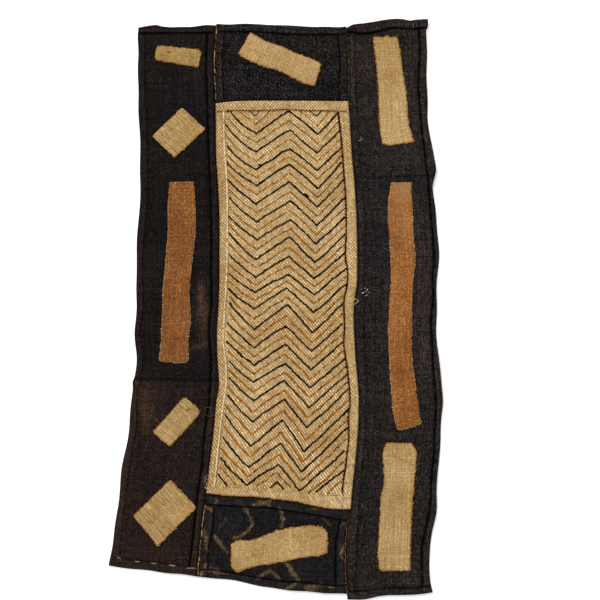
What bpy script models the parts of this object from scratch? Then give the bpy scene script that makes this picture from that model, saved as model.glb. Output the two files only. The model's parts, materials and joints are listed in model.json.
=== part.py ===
# Kuba raffia cloth: a pale embroidered panel in a border of dark dyed raffia, with pieces of
# tan and brown raffia laid over the border and sewn down. It lies face up on a level surface.
# Sizes are in millimetres, from the middle of the cloth's outline: x runs to the right edge,
# y to the top edge and z up from the surface.

import math

import bmesh
import bpy

MM = 0.001

# Thicknesses
CLOTH = 1.1          # one layer of woven raffia
HEM = 2.1            # two layers, where an edge is turned over and sewn
PATCH = 1.0          # a piece laid over the border

# Clearances
SEAM_GAP = 0.6       # between the edges of two panels
PATCH_GAP = 0.5      # between a panel and the piece laid over it

# Fineness of the surfaces
HEM_STEP = 1.2       # width over which a turned edge drops to one layer
PANEL_GRID = 14.0
PATCH_GRID = 11.0
CORNER_DRAW = 0.05   # share by which a laid piece's corners are drawn in
FIT_ROUNDS = 5       # rounds that bring a point onto its two slanting grid lines

# The four edges that run the length of the cloth, a row for each height, top to bottom
LONG_EDGE_NAMES = ("outer_left", "left_seam", "right_seam", "outer_right")
LONG_EDGES = (
    # y, outer left, left seam, right seam, outer right
    (368.0, -172.5, -74.5, 87.5, 189.0),
    (353.0, -172.5, -74.5, 88.0, 189.0),
    (309.5, -172.0, -77.5, 90.5, 189.0),
    (262.0, -172.0, -75.5, 91.0, 189.5),
    (232.0, -171.0, -75.0, 93.0, 191.0),
    (192.0, -169.5, -74.5, 95.5, 197.0),
    (169.5, -169.5, -73.0, 97.5, 200.0),
    (152.0, -169.5, -72.0, 99.0, 196.5),
    (117.0, -171.0, -70.5, 101.0, 200.5),
    (72.0, -174.0, -70.5, 102.0, 204.0),
    (32.0, -174.0, -70.5, 101.5, 201.5),
    (5.5, -174.0, -71.5, 98.0, 201.5),
    (-26.0, -176.5, -73.5, 98.0, 200.5),
    (-61.0, -173.5, -73.0, 100.0, 204.0),
    (-93.0, -178.5, -71.0, 103.0, 206.5),
    (-117.0, -181.0, -74.5, 104.0, 208.5),
    (-151.0, -183.5, -77.5, 103.0, 206.5),
    (-192.0, -191.5, -82.5, 99.5, 204.0),
    (-229.5, -195.5, -87.0, 95.5, 201.0),
    (-253.5, -198.5, -90.5, 93.5, 200.5),
    (-278.5, -202.0, -93.0, 88.5, 196.0),
    (-303.5, -206.0, -96.0, 87.5, 192.5),
    (-321.0, -208.5, -97.0, 87.0, 192.0),
    (-353.5, -208.5, -98.5, 89.0, 195.5),
    (-368.0, -208.5, -98.5, 90.0, 197.0),
)

# The edges and seams that run across it, each a few places (x, y) from left to right
CROSS_EDGES = {
    "top_left": ((-173, 353), (-150, 355), (-127, 353), (-97, 354.5), (-75, 356)),
    "top_middle": ((-75, 356.5), (-22, 357), (0, 355.5), (30, 354.5), (75, 353), (88, 354.5)),
    "top_right": ((88, 353.5), (98, 356), (120, 359.5), (150, 363), (172, 361.5), (189, 363.2)),
    "left_join": ((-178, -87), (-145, -87.5), (-107, -89.5), (-71, -89.5)),
    "right_join": ((97, 165.5), (130, 165.5), (168, 166.5), (200, 168)),
    "centre_top": ((-73, 258), (-48, 260.5), (-8, 261), (92, 260.5)),
    "centre_bottom": ((-87, -230), (-63, -233), (-23, -235), (3, -238), (29, -241.5),
                      (45, -245.5), (73, -250), (94, -250)),
    "bottom_left": ((-209, -321), (-165, -326), (-120, -331), (-97, -333.5)),
    "bottom_middle": ((-97, -334.5), (-67, -337), (-37, -342), (-15, -347), (30, -352), (87, -356)),
    "bottom_right": ((90, -363.2), (113, -362), (143, -357), (173, -357), (195, -353.5)),
}

# Panels: the edges that bound them, the widths of their turned edges and their dye
PANELS = (
    # name, left, right, top, bottom, hem left, hem right, hem top, hem bottom, dye
    ("panel_left_upper", "outer_left", "left_seam", "top_left", "left_join", 8, 9, 7, 0, "black"),
    ("panel_left_lower", "outer_left", "left_seam", "left_join", "bottom_left", 8, 9, 0, 9, "umber"),
    ("panel_top", "left_seam", "right_seam", "top_middle", "centre_top", 10, 10, 8.5, 0, "black"),
    ("panel_centre", "left_seam", "right_seam", "centre_top", "centre_bottom",
     10.5, 11.5, 12, 11, "straw"),
    ("panel_bottom", "left_seam", "right_seam", "centre_bottom", "bottom_middle",
     12, 12, 11, 9, "indigo"),
    ("panel_right_upper", "right_seam", "outer_right", "top_right", "right_join",
     8, 9, 10.5, 0, "charcoal"),
    ("panel_right_lower", "right_seam", "outer_right", "right_join", "bottom_right",
     9, 7, 0, 8.5, "charcoal"),
)

# Short laid pieces, by their corners in order round the piece
CORNER_PATCHES = (
    # name, corner, next corner, opposite corner, last corner, dye
    ("patch_left_label", (-148.5, 331), (-94, 325.5), (-97, 302), (-150, 310), "tan"),
    ("patch_left_diamond", (-117.5, 252.5), (-87.5, 225.5), (-126.5, 189.5), (-154.5, 216.5), "tan"),
    ("patch_left_slant", (-113.5, -110), (-93.5, -127), (-132, -172), (-153.5, -156), "tan"),
    ("patch_left_square", (-132, -212.5), (-99, -247.5), (-147, -296), (-178.5, -258.5), "tan"),
    ("patch_top", (-32, 346), (57, 307), (49, 279.5), (-47, 319.5), "tan"),
)

# Long laid pieces, a row for each section across them: where it is, then its two sides
UPRIGHT_PATCHES = {
    "patch_left_long": ("brown", (
        # y, left side, right side
        (159.0, -132.0, -102.5), (130.5, -134.5, -101.0), (102.0, -134.5, -100.5),
        (78.0, -136.0, -102.5), (54.0, -138.5, -105.5), (24.0, -141.0, -108.0),
        (-11.0, -142.0, -106.5), (-38.0, -143.5, -109.0), (-66.0, -146.0, -109.5))),
    "patch_right_upper": ("tan", (
        (340.5, 122.0, 152.5), (323.0, 124.0, 155.5), (288.0, 127.0, 160.5),
        (268.0, 128.5, 163.5), (244.0, 129.0, 165.0), (225.5, 130.0, 168.0),
        (208.0, 133.0, 174.0))),
    "patch_right_long": ("brown", (
        (158.5, 144.0, 169.0), (129.0, 140.5, 170.5), (80.5, 142.5, 173.0),
        (62.0, 143.5, 174.5), (33.0, 144.0, 171.5), (5.5, 142.0, 170.5),
        (-26.0, 141.0, 170.0), (-52.0, 141.5, 170.0), (-82.0, 143.0, 173.0),
        (-106.0, 145.0, 176.0), (-129.5, 146.5, 179.5), (-148.0, 151.5, 182.5))),
    "patch_right_lower": ("tan", (
        (-167.0, 137.5, 170.5), (-178.5, 134.0, 176.5), (-191.0, 134.5, 175.5),
        (-218.5, 135.0, 173.0), (-237.0, 131.0, 171.5), (-259.5, 130.0, 170.0),
        (-286.0, 128.5, 169.0), (-307.0, 127.5, 168.5), (-327.0, 130.5, 168.0))),
}
LEVEL_PATCHES = {
    "patch_bottom": ("tan", (
        # x, lower side, upper side
        (-56.0, -320.0, -293.0), (-48.5, -326.5, -289.0), (-26.0, -321.5, -287.5),
        (3.0, -317.0, -276.0), (30.5, -311.0, -271.5), (56.0, -307.5, -271.5),
        (65.0, -303.0, -279.0))),
}

# Soft ridges left across the cloth where it was folded for storage
FOLDS = (
    # y, height, reach to each side
    (164.0, 1.0, 30.0),
    (21.0, 1.2, 30.0),
    (-122.0, 1.0, 30.0),
)

# Places where the cloth stands a little off the surface
LIFTS = (
    # x, y, reach in x, reach in y, height
    (-175.0, 285.0, 50.0, 60.0, 1.2),
    (-176.0, 75.0, 50.0, 70.0, 1.5),
    (-180.0, -50.0, 60.0, 50.0, 2.2),
    (-192.0, -170.0, 50.0, 60.0, 1.4),
    (-110.0, -25.0, 50.0, 60.0, 1.0),
    (-110.0, -335.0, 60.0, 45.0, 1.4),
    (50.0, -352.0, 75.0, 50.0, 1.8),
    (155.0, -360.0, 60.0, 50.0, 1.6),
    (198.0, -240.0, 50.0, 65.0, 1.4),
    (207.0, -75.0, 55.0, 75.0, 1.9),
    (200.0, 172.0, 60.0, 55.0, 2.0),
    (190.0, 362.0, 60.0, 50.0, 2.2),
    (95.0, 352.0, 45.0, 45.0, 1.6),
    (120.0, 70.0, 50.0, 75.0, 1.0),
    (25.0, 110.0, 75.0, 55.0, 0.8),
    (-15.0, -190.0, 75.0, 60.0, 1.0),
)

# Dyes and finish
DYES = {
    # name: colour (red, green, blue), roughness
    "black": ((0.021, 0.018, 0.018), 0.92),
    "umber": ((0.030, 0.022, 0.018), 0.93),
    "charcoal": ((0.028, 0.025, 0.025), 0.90),
    "indigo": ((0.018, 0.018, 0.021), 0.92),
    "straw": ((0.64, 0.46, 0.24), 0.85),
    "tan": ((0.56, 0.38, 0.16), 0.86),
    "brown": ((0.38, 0.17, 0.05), 0.88),
}
METALLIC = 0.0


def read_curve(points, t):
    """Height at t of a smooth curve through (place, height) points, level past both ends."""
    points = sorted(points)
    if t <= points[0][0]:
        return points[0][1]
    if t >= points[-1][0]:
        return points[-1][1]
    k = max(i for i, point in enumerate(points) if point[0] <= t)
    slopes = []
    for i in (k, k + 1):
        before = points[max(i - 1, 0)]
        after = points[min(i + 1, len(points) - 1)]
        slopes.append((after[1] - before[1]) / (after[0] - before[0]))
    (start, low), (end, high) = points[k], points[k + 1]
    span = end - start
    s = (t - start) / span
    ease = s * s * (3.0 - 2.0 * s)
    bend = s * (1.0 - s) * ((1.0 - s) * slopes[0] - s * slopes[1]) * span
    return low + (high - low) * ease + bend


def long_edge(name, y):
    column = 1 + LONG_EDGE_NAMES.index(name)
    return read_curve([(row[0], row[column]) for row in LONG_EDGES], y)


def cross_edge(name, x):
    return read_curve(CROSS_EDGES[name], x)


def blend(low, high, share):
    return low + (high - low) * share


def swell(t):
    """One at t = 0, easing to nothing at t = 1 and past it."""
    return math.cos(0.5 * math.pi * t) ** 2 if abs(t) < 1.0 else 0.0


def lie(x, y):
    """Height of the cloth's underside over the surface."""
    ridges = sum(height * swell((y - fold) / reach) for fold, height, reach in FOLDS)
    lifts = sum(height * swell((x - lift_x) / reach_x) * swell((y - lift_y) / reach_y)
                for lift_x, lift_y, reach_x, reach_y, height in LIFTS)
    return ridges + lifts


def grid_lines(length, hem_low, hem_high, gap_low, gap_high):
    """Lines across one direction of a panel, as (share of the way, offset, on a hem)."""
    count = max(2, round((length - hem_low - hem_high) / PANEL_GRID))
    lines = []
    for step in range(count + 1):
        share = step / count
        lines.append((share, blend(hem_low, -hem_high, share), 0.0))
    if hem_low:
        lines = [(0.0, gap_low, 1.0), (0.0, hem_low - HEM_STEP, 1.0)] + lines
    else:
        lines[0] = (0.0, gap_low, 0.0)
    if hem_high:
        lines = lines + [(1.0, HEM_STEP - hem_high, 1.0), (1.0, -gap_high, 1.0)]
    else:
        lines[-1] = (1.0, -gap_high, 0.0)
    return lines


def seam_clearance(edge):
    """Half the seam gap, where the edge meets another panel."""
    outer = edge.startswith(("outer", "top_", "bottom_"))
    return 0.0 if outer else 0.5 * SEAM_GAP


def add_material(name, dye):
    colour, roughness = DYES[dye]
    material = bpy.data.materials.new(name)
    material.use_nodes = True
    shader = material.node_tree.nodes["Principled BSDF"]
    shader.inputs["Base Color"].default_value = (*colour, 1.0)
    shader.inputs["Roughness"].default_value = roughness
    shader.inputs["Metallic"].default_value = METALLIC
    material.diffuse_color = (*colour, 1.0)
    return material


def add_cloth(name, dye, columns, rows, place, thickness, collection, parent):
    """A grid shaped by place(column, row), which gives x, y, z and the hem's share."""
    mesh = bpy.data.meshes.new(name)
    cloth = bpy.data.objects.new(name, mesh)
    collection.objects.link(cloth)
    cloth.parent = parent
    hem = cloth.vertex_groups.new(name="hem")

    shape = bmesh.new()
    bmesh.ops.create_grid(shape, x_segments=columns, y_segments=rows, size=0.5)
    shape.verts.ensure_lookup_table()
    hem_layer = shape.verts.layers.deform.verify()
    spots = [place(round((v.co.x + 0.5) * columns), round((v.co.y + 0.5) * rows))
             for v in shape.verts]
    middle = [0.5 * (min(spot[k] for spot in spots) + max(spot[k] for spot in spots))
              for k in (0, 1)]
    for vert, (x, y, z, on_hem) in zip(shape.verts, spots):
        vert.co = ((x - middle[0]) * MM, (y - middle[1]) * MM, z * MM)
        vert[hem_layer][hem.index] = on_hem
    shape.to_mesh(mesh)
    shape.free()
    cloth.location = (middle[0] * MM, middle[1] * MM, 0.0)

    solid = cloth.modifiers.new("Thickness", "SOLIDIFY")
    solid.thickness = max(thickness) * MM
    solid.offset = 1.0
    solid.vertex_group = hem.name
    solid.thickness_vertex_group = min(thickness) / max(thickness)
    mesh.materials.append(add_material(name, dye))
    return cloth


def add_panel(row, collection, parent):
    name, left, right, top, bottom, hem_left, hem_right, hem_top, hem_bottom, dye = row
    middle_x = 0.5 * (long_edge(left, 0.0) + long_edge(right, 0.0))
    low, high = cross_edge(bottom, middle_x), cross_edge(top, middle_x)
    middle_y = 0.5 * (low + high)
    width = long_edge(right, middle_y) - long_edge(left, middle_y)
    across = grid_lines(width, hem_left, hem_right, seam_clearance(left), seam_clearance(right))
    along = grid_lines(high - low, hem_bottom, hem_top, seam_clearance(bottom), seam_clearance(top))

    def place(column, line):
        share_x, offset_x, side_hem = across[column]
        share_y, offset_y, end_hem = along[line]
        x, y = middle_x, middle_y
        for _ in range(FIT_ROUNDS):
            x = blend(long_edge(left, y), long_edge(right, y), share_x) + offset_x
            y = blend(cross_edge(bottom, x), cross_edge(top, x), share_y) + offset_y
        return x, y, lie(x, y), max(side_hem, end_hem)

    return add_cloth(name, dye, len(across) - 1, len(along) - 1, place, (CLOTH, HEM),
                     collection, parent)


def add_patch(name, dye, width, length, spot, collection, parent):
    """A laid piece, whose spot(u, v) gives x and y for shares across and along it."""
    columns = max(2, round(width / PATCH_GRID))
    rows = max(2, round(length / PATCH_GRID))

    def place(column, line):
        u, v = column / columns, line / rows
        if column in (0, columns) and line in (0, rows):
            u = blend(u, 0.5, CORNER_DRAW)
            v = blend(v, 0.5, CORNER_DRAW * width / length)
        x, y = spot(u, v)
        return x, y, lie(x, y) + CLOTH + PATCH_GAP, 1.0

    return add_cloth(name, dye, columns, rows, place, (PATCH, PATCH), collection, parent)


def add_corner_patch(row, collection, parent):
    """A short piece stretched between its four corners; its first side is its far end."""
    name, far_left, far_right, near_right, near_left, dye = row

    def spot(u, v):
        near = [blend(a, b, u) for a, b in zip(near_left, near_right)]
        far = [blend(a, b, u) for a, b in zip(far_left, far_right)]
        return [blend(a, b, v) for a, b in zip(near, far)]

    return add_patch(name, dye, math.dist(far_left, far_right), math.dist(near_left, far_left),
                     spot, collection, parent)


def add_long_patch(name, dye, sections, upright, collection, parent):
    """A long piece between its two sides, which are smooth curves through its sections."""
    low_side = [(row[0], row[1]) for row in sections]
    high_side = [(row[0], row[2]) for row in sections]
    start = min(row[0] for row in sections)
    end = max(row[0] for row in sections)
    width = max(row[2] - row[1] for row in sections)

    def spot_upright(u, v):
        y = blend(start, end, v)
        return blend(read_curve(low_side, y), read_curve(high_side, y), u), y

    def spot_level(u, v):
        x = blend(start, end, u)
        return x, blend(read_curve(low_side, x), read_curve(high_side, x), v)

    if upright:
        return add_patch(name, dye, width, end - start, spot_upright, collection, parent)
    return add_patch(name, dye, end - start, width, spot_level, collection, parent)


def build():
    for thing in list(bpy.data.objects):
        bpy.data.objects.remove(thing, do_unlink=True)
    collection = bpy.data.collections.new("kuba_raffia_cloth")
    bpy.context.scene.collection.children.link(collection)
    middle = bpy.data.objects.new("cloth_middle", None)
    collection.objects.link(middle)

    for row in PANELS:
        add_panel(row, collection, middle)
    for row in CORNER_PATCHES:
        add_corner_patch(row, collection, middle)
    for name, (dye, sections) in UPRIGHT_PATCHES.items():
        add_long_patch(name, dye, sections, True, collection, middle)
    for name, (dye, sections) in LEVEL_PATCHES.items():
        add_long_patch(name, dye, sections, False, collection, middle)


build()
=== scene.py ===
import json
import math

import bpy
import numpy as np
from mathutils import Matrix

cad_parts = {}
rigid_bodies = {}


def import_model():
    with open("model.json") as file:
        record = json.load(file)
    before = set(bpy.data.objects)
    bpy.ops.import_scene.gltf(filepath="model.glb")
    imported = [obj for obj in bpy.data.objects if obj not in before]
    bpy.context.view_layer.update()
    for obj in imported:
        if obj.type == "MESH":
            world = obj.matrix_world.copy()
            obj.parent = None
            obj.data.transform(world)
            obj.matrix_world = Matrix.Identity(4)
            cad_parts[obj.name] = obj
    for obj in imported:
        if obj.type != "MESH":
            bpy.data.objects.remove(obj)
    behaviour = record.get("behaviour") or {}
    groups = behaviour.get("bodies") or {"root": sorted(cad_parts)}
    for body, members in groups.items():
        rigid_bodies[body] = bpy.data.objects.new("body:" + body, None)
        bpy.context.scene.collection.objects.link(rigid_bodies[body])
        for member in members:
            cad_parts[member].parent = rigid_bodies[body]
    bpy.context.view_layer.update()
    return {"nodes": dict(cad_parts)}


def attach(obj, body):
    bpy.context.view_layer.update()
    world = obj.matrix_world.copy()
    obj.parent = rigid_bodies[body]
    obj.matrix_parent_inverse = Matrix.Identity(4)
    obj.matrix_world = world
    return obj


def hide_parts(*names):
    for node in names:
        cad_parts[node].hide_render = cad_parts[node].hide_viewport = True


# Kuba raffia cloth, face up on a pale floor. Every size here is in millimetres unless a note says
# otherwise, measured from the middle of the cloth: x to the right edge, y to the top edge, z up.
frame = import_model()
mm = 0.001
print("frame loaded:", len(frame["nodes"]), "cloth pieces")


# Where the cloth lies

clothLayers = {
    "single": 1.1,        # one layer of woven raffia
    "turned": 2.1,        # two layers, where an edge is folded over and sewn
    "laid": 1.0,          # a piece sewn on top of the border
    "laidGap": 0.5,       # air between the border and the piece on top of it
}

# The edges that run the length of the cloth: y, outer left, left seam, right seam, outer right
longEdgeNames = ("outerLeft", "leftSeam", "rightSeam", "outerRight")
longEdges = (
    (368.0, -172.5, -74.5, 87.5, 189.0),
    (353.0, -172.5, -74.5, 88.0, 189.0),
    (309.5, -172.0, -77.5, 90.5, 189.0),
    (262.0, -172.0, -75.5, 91.0, 189.5),
    (232.0, -171.0, -75.0, 93.0, 191.0),
    (192.0, -169.5, -74.5, 95.5, 197.0),
    (169.5, -169.5, -73.0, 97.5, 200.0),
    (152.0, -169.5, -72.0, 99.0, 196.5),
    (117.0, -171.0, -70.5, 101.0, 200.5),
    (72.0, -174.0, -70.5, 102.0, 204.0),
    (32.0, -174.0, -70.5, 101.5, 201.5),
    (5.5, -174.0, -71.5, 98.0, 201.5),
    (-26.0, -176.5, -73.5, 98.0, 200.5),
    (-61.0, -173.5, -73.0, 100.0, 204.0),
    (-93.0, -178.5, -71.0, 103.0, 206.5),
    (-117.0, -181.0, -74.5, 104.0, 208.5),
    (-151.0, -183.5, -77.5, 103.0, 206.5),
    (-192.0, -191.5, -82.5, 99.5, 204.0),
    (-229.5, -195.5, -87.0, 95.5, 201.0),
    (-253.5, -198.5, -90.5, 93.5, 200.5),
    (-278.5, -202.0, -93.0, 88.5, 196.0),
    (-303.5, -206.0, -96.0, 87.5, 192.5),
    (-321.0, -208.5, -97.0, 87.0, 192.0),
    (-353.5, -208.5, -98.5, 89.0, 195.5),
    (-368.0, -208.5, -98.5, 90.0, 197.0),
)

# The edges and seams that run across it: x, y from left to right
crossEdges = {
    "topLeft": ((-173, 353), (-150, 355), (-127, 353), (-97, 354.5), (-75, 356)),
    "topMiddle": ((-75, 356.5), (-22, 357), (0, 355.5), (30, 354.5), (75, 353), (88, 354.5)),
    "topRight": ((88, 353.5), (98, 356), (120, 359.5), (150, 363), (172, 361.5), (189, 363.2)),
    "leftJoin": ((-178, -87), (-145, -87.5), (-107, -89.5), (-71, -89.5)),
    "rightJoin": ((97, 165.5), (130, 165.5), (168, 166.5), (200, 168)),
    "centreTop": ((-73, 258), (-48, 260.5), (-8, 261), (92, 260.5)),
    "centreBottom": ((-87, -230), (-63, -233), (-23, -235), (3, -238), (29, -241.5),
                     (45, -245.5), (73, -250), (94, -250)),
    "bottomLeft": ((-209, -321), (-165, -326), (-120, -331), (-97, -333.5)),
    "bottomMiddle": ((-97, -334.5), (-67, -337), (-37, -342), (-15, -347), (30, -352), (87, -356)),
    "bottomRight": ((90, -363.2), (113, -362), (143, -357), (173, -357), (195, -353.5)),
}

# Small bumps on the outer edges: place along the edge, how far it moves
edgeBumps = {
    "outerLeft": ((352, 0.6), (340, -0.4), (322, 0.3), (300, -0.5), (270, 0.5), (246, -0.3),
                  (214, 0.5), (180, -0.5), (140, 0.4), (96, -0.6), (60, 0.4), (20, -0.4),
                  (-14, 0.6), (-44, -0.7), (-84, 0.5), (-90, -0.9), (-100, 0.4), (-136, -0.4),
                  (-170, 0.6), (-205, -0.5), (-240, 0.4), (-270, -0.5), (-296, 0.5), (-318, -0.5)),
    "outerRight": ((363, 1.2), (353, 1.0), (349, -1.0), (338, -0.6), (320, 0.3), (290, -0.5),
                   (262, 0.6), (236, -0.5), (205, 0.4), (176, 0.7), (166, -0.8), (156, -0.6),
                   (130, 0.4), (96, -0.5), (64, 0.5), (24, -0.5), (-10, 0.5), (-44, -0.4),
                   (-80, 0.6), (-112, 0.6), (-136, -0.6), (-170, 0.4), (-210, -0.5),
                   (-245, 0.5), (-284, -0.5), (-312, 0.4), (-340, -0.6), (-352, 0.6)),
    "topLeft": ((-172, -0.6), (-160, 0.3), (-148, 0.7), (-143, -0.4), (-120, 0.2), (-104, -0.4),
                (-88, 0.6), (-77, -0.6)),
    "topMiddle": ((-74, 0.6), (-58, -0.3), (-40, 0.4), (-16, -0.4), (12, 0.4), (44, -0.4),
                  (66, 0.4), (84, -0.8)),
    "topRight": ((90, -1.4), (96, 0.3), (112, -0.3), (134, 0.4), (160, 0.3), (168, -0.6),
                 (174, 0.5), (188, -0.3)),
    "bottomLeft": ((-206, 0.5), (-186, -0.4), (-160, 0.4), (-138, -0.5), (-116, 0.4), (-100, -0.4)),
    "bottomMiddle": ((-94, 0.4), (-76, -0.4), (-52, 0.5), (-30, -0.3), (-6, 0.4), (18, -0.5),
                     (40, 0.4), (62, -0.4), (80, 0.5)),
    "bottomRight": ((92, 0.4), (108, -0.5), (128, 0.5), (150, -0.4), (170, 0.4), (190, -0.5)),
}

# Inner edges of the turned hems. Lines down the cloth are y, x and lines across it are x, y.
hemLines = {
    "leftStripOuter": ((345, -164), (293, -164), (249, -162.5), (199, -161), (149, -161.5),
                       (133, -161.5), (87, -165), (54, -167), (24, -166.5), (0, -166.5),
                       (-27, -169.5), (-54, -166), (-78, -168), (-107, -174), (-146, -174.5),
                       (-166, -179), (-200, -184), (-234, -188.5), (-262, -191.5), (-298, -195.5)),
    "leftStripInner": ((345, -85), (297, -86), (248, -84.5), (205, -83.5), (167, -81.5),
                       (93, -79.5), (45, -79.5), (5, -79.5), (-27, -82.5), (-63, -80),
                       (-116, -82.5), (-139, -86), (-171, -89.5), (-197, -91.5), (-224, -96),
                       (-257, -99.5), (-293, -103.5), (-320, -107)),
    "topPanelRight": ((353, 75), (339, 79), (302, 81.5), (280, 79.5), (263, 80.5)),
    "topPanelTop": ((-75, 348.5), (-22, 347.5), (30, 344.5), (74, 344.5), (88, 345)),
    "centreLeft": ((247, -65), (207, -64), (153, -60.7), (58, -60.7), (-7, -64), (-38, -65.5),
                   (-71, -62), (-98, -62), (-123, -66), (-176, -72), (-201, -74.5), (-235, -78)),
    "centreRight": ((247, 79), (213, 83), (179, 85.5), (139, 88.5), (90, 89), (67, 88), (47, 91),
                    (29, 90), (12, 86.5), (-2, 86.5), (-26, 87), (-42, 86), (-71, 90), (-87, 92),
                    (-114, 94), (-134, 92), (-163, 92.2), (-186, 89.4), (-200, 88.0), (-213, 85.6),
                    (-222, 84.8), (-233, 85)),
    "centreTop": ((-64, 248.2), (-45, 249.5), (-25, 249.4), (-4, 249.9), (14, 250.8),
                  (32, 249.6), (57, 249.3), (79, 248.6)),
    "centreBottom": ((-76, -222), (9, -227), (37, -231), (84, -234), (94, -234)),
    "bottomPanelLeft": ((-254, -78.5), (-272, -79.5), (-297, -85), (-321, -85.5)),
    "bottomPanelRight": ((-263, 81.5), (-276, 79), (-294, 76), (-346, 76)),
    "bottomPanelTop": ((-87, -243), (-40, -246), (-7, -247.5), (18, -251.5), (50, -256),
                       (71, -260), (82, -262.5)),
    "bottomPanelBottom": ((-78, -326), (-53, -331), (9, -341), (30, -342), (72, -346)),
    "rightStripTop": ((97, 346.5), (110, 345.5), (125, 347.5), (137, 351), (149, 352.5),
                      (173, 351.5), (190, 353)),
    "rightStripOuter": ((350, 180), (323, 181), (279, 179.5), (249, 181.5), (222, 184),
                        (199, 187), (178, 189), (160, 191.5), (143, 193), (123, 194.5),
                        (75, 198.5), (57, 198.5), (37, 196.5), (18, 198), (-12, 195), (-38, 196),
                        (-63, 197), (-86, 198.5), (-113, 201), (-153, 199.5), (-182, 198.5),
                        (-204, 196), (-246, 193.5), (-273, 189), (-293, 184.5), (-321, 183.5),
                        (-341, 184.5)),
    "rightStripInner": ((312, 98), (224, 101.5), (112, 110), (-26, 109), (-120, 113),
                        (-230, 105), (-340, 98)),
    "leftStripTop": ((-173, 346), (-75, 347)),
    "leftStripBottom": ((-209, -309.5), (-173, -315.5), (-129, -320), (-97, -324.5)),
    "rightStripBottom": ((90, -353), (113, -352.5), (143, -349), (173, -349), (195, -346)),
}

# Soft ridges left across the cloth where it was folded for storage: y, height, reach
storageFolds = ((164.0, 1.0, 30.0), (21.0, 1.2, 30.0), (-122.0, 1.0, 30.0))

# Places where the cloth stands a little off the floor: x, y, reach in x, reach in y, height
lifts = (
    (-175.0, 285.0, 50.0, 60.0, 1.2),
    (-176.0, 75.0, 50.0, 70.0, 1.5),
    (-180.0, -50.0, 60.0, 50.0, 2.2),
    (-192.0, -170.0, 50.0, 60.0, 1.4),
    (-110.0, -25.0, 50.0, 60.0, 1.0),
    (-110.0, -335.0, 60.0, 45.0, 1.4),
    (50.0, -352.0, 75.0, 50.0, 1.8),
    (155.0, -360.0, 60.0, 50.0, 1.6),
    (198.0, -240.0, 50.0, 65.0, 1.4),
    (207.0, -75.0, 55.0, 75.0, 1.9),
    (200.0, 172.0, 60.0, 55.0, 2.0),
    (190.0, 362.0, 60.0, 50.0, 2.2),
    (95.0, 352.0, 45.0, 45.0, 1.6),
    (120.0, 70.0, 50.0, 75.0, 1.0),
    (25.0, 110.0, 75.0, 55.0, 0.8),
    (-15.0, -190.0, 75.0, 60.0, 1.0),
)

# Creases in the cloth, each a soft line: from x, y, to x, y, half width, height (troughs below 0)
creases = (
    (-170, 164, -76, 162, 3.0, 0.30),
    (-66, 163, 90, 165, 3.5, 0.25),
    (104, 165, 196, 167, 3.0, 0.35),
    (-172, 23, -76, 19, 3.0, 0.35),
    (-62, 20, 92, 21, 3.5, 0.30),
    (106, 21, 198, 19, 3.0, 0.45),
    (-178, -124, -80, -120, 3.0, 0.30),
    (-66, -121, 96, -122, 3.5, 0.25),
    (110, -122, 204, -124, 3.0, 0.35),
    (-104, -43, -86, -50, 2.2, 0.40),
    (-99, -107, -90, -119, 2.0, -0.40),
    (-121, -158, -102, -168, 2.0, -0.35),
    (-165, 282, -152, 268, 3.0, 0.30),
    (-97, 205, -90, 172, 2.5, 0.30),
    (-162, 40, -150, -8, 3.0, 0.30),
    (150, -10, 194, 8, 3.5, 0.30),
    (186, -60, 176, -104, 3.0, 0.35),
    (120, -150, 116, -206, 3.0, 0.30),
    (178, -262, 190, -308, 3.0, 0.30),
    (112, 262, 116, 196, 2.5, 0.30),
    (96, 350, 128, 344, 2.5, 0.35),
    (10, 276, 60, 268, 3.0, 0.25),
    (-60, -262, -30, -282, 2.5, 0.25),
    (40, -320, 70, -338, 2.5, 0.30),
    (-40, -60, 10, -92, 4.0, 0.18),
    (30, 60, 70, 36, 4.0, 0.18),
)


def readCurve(points, t):
    # height at t of a smooth curve through (place, height) points, level past both ends
    table = np.array(sorted(points), float)
    place, height = table[:, 0], table[:, 1]
    last = len(place) - 1
    before = np.maximum(np.arange(last + 1) - 1, 0)
    after = np.minimum(np.arange(last + 1) + 1, last)
    slope = (height[after] - height[before]) / (place[after] - place[before])
    k = np.clip(np.searchsorted(place, t, side="right") - 1, 0, last - 1)
    span = place[k + 1] - place[k]
    s = np.clip((t - place[k]) / span, 0.0, 1.0)
    ease = s * s * (3.0 - 2.0 * s)
    bend = s * (1.0 - s) * ((1.0 - s) * slope[k] - s * slope[k + 1]) * span
    return height[k] + (height[k + 1] - height[k]) * ease + bend


def longEdge(name, y):
    column = 1 + longEdgeNames.index(name)
    edge = readCurve([(row[0], row[column]) for row in longEdges], y)
    return edge + readCurve(edgeBumps[name], y) if name in edgeBumps else edge


def crossEdge(name, x):
    edge = readCurve(crossEdges[name], x)
    return edge + readCurve(edgeBumps[name], x) if name in edgeBumps else edge


def blend(low, high, share):
    return low + (high - low) * share


def swell(t):
    # one at t = 0, easing to nothing at t = 1 and past it
    return np.where(np.abs(t) < 1.0, np.cos(0.5 * np.pi * np.clip(t, -1.0, 1.0)) ** 2, 0.0)


def easeStep(t):
    t = np.clip(t, 0.0, 1.0)
    return t * t * (3.0 - 2.0 * t)


def strokeDistance(x, y, stroke):
    # distance to a straight stroke from x, y to x, y, and how far along it the nearest point is
    startX, startY, endX, endY = stroke
    runX, runY = endX - startX, endY - startY
    along = ((x - startX) * runX + (y - startY) * runY) / (runX ** 2 + runY ** 2)
    along = np.clip(along, 0.0, 1.0)
    return np.hypot(x - startX - along * runX, y - startY - along * runY), along


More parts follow.
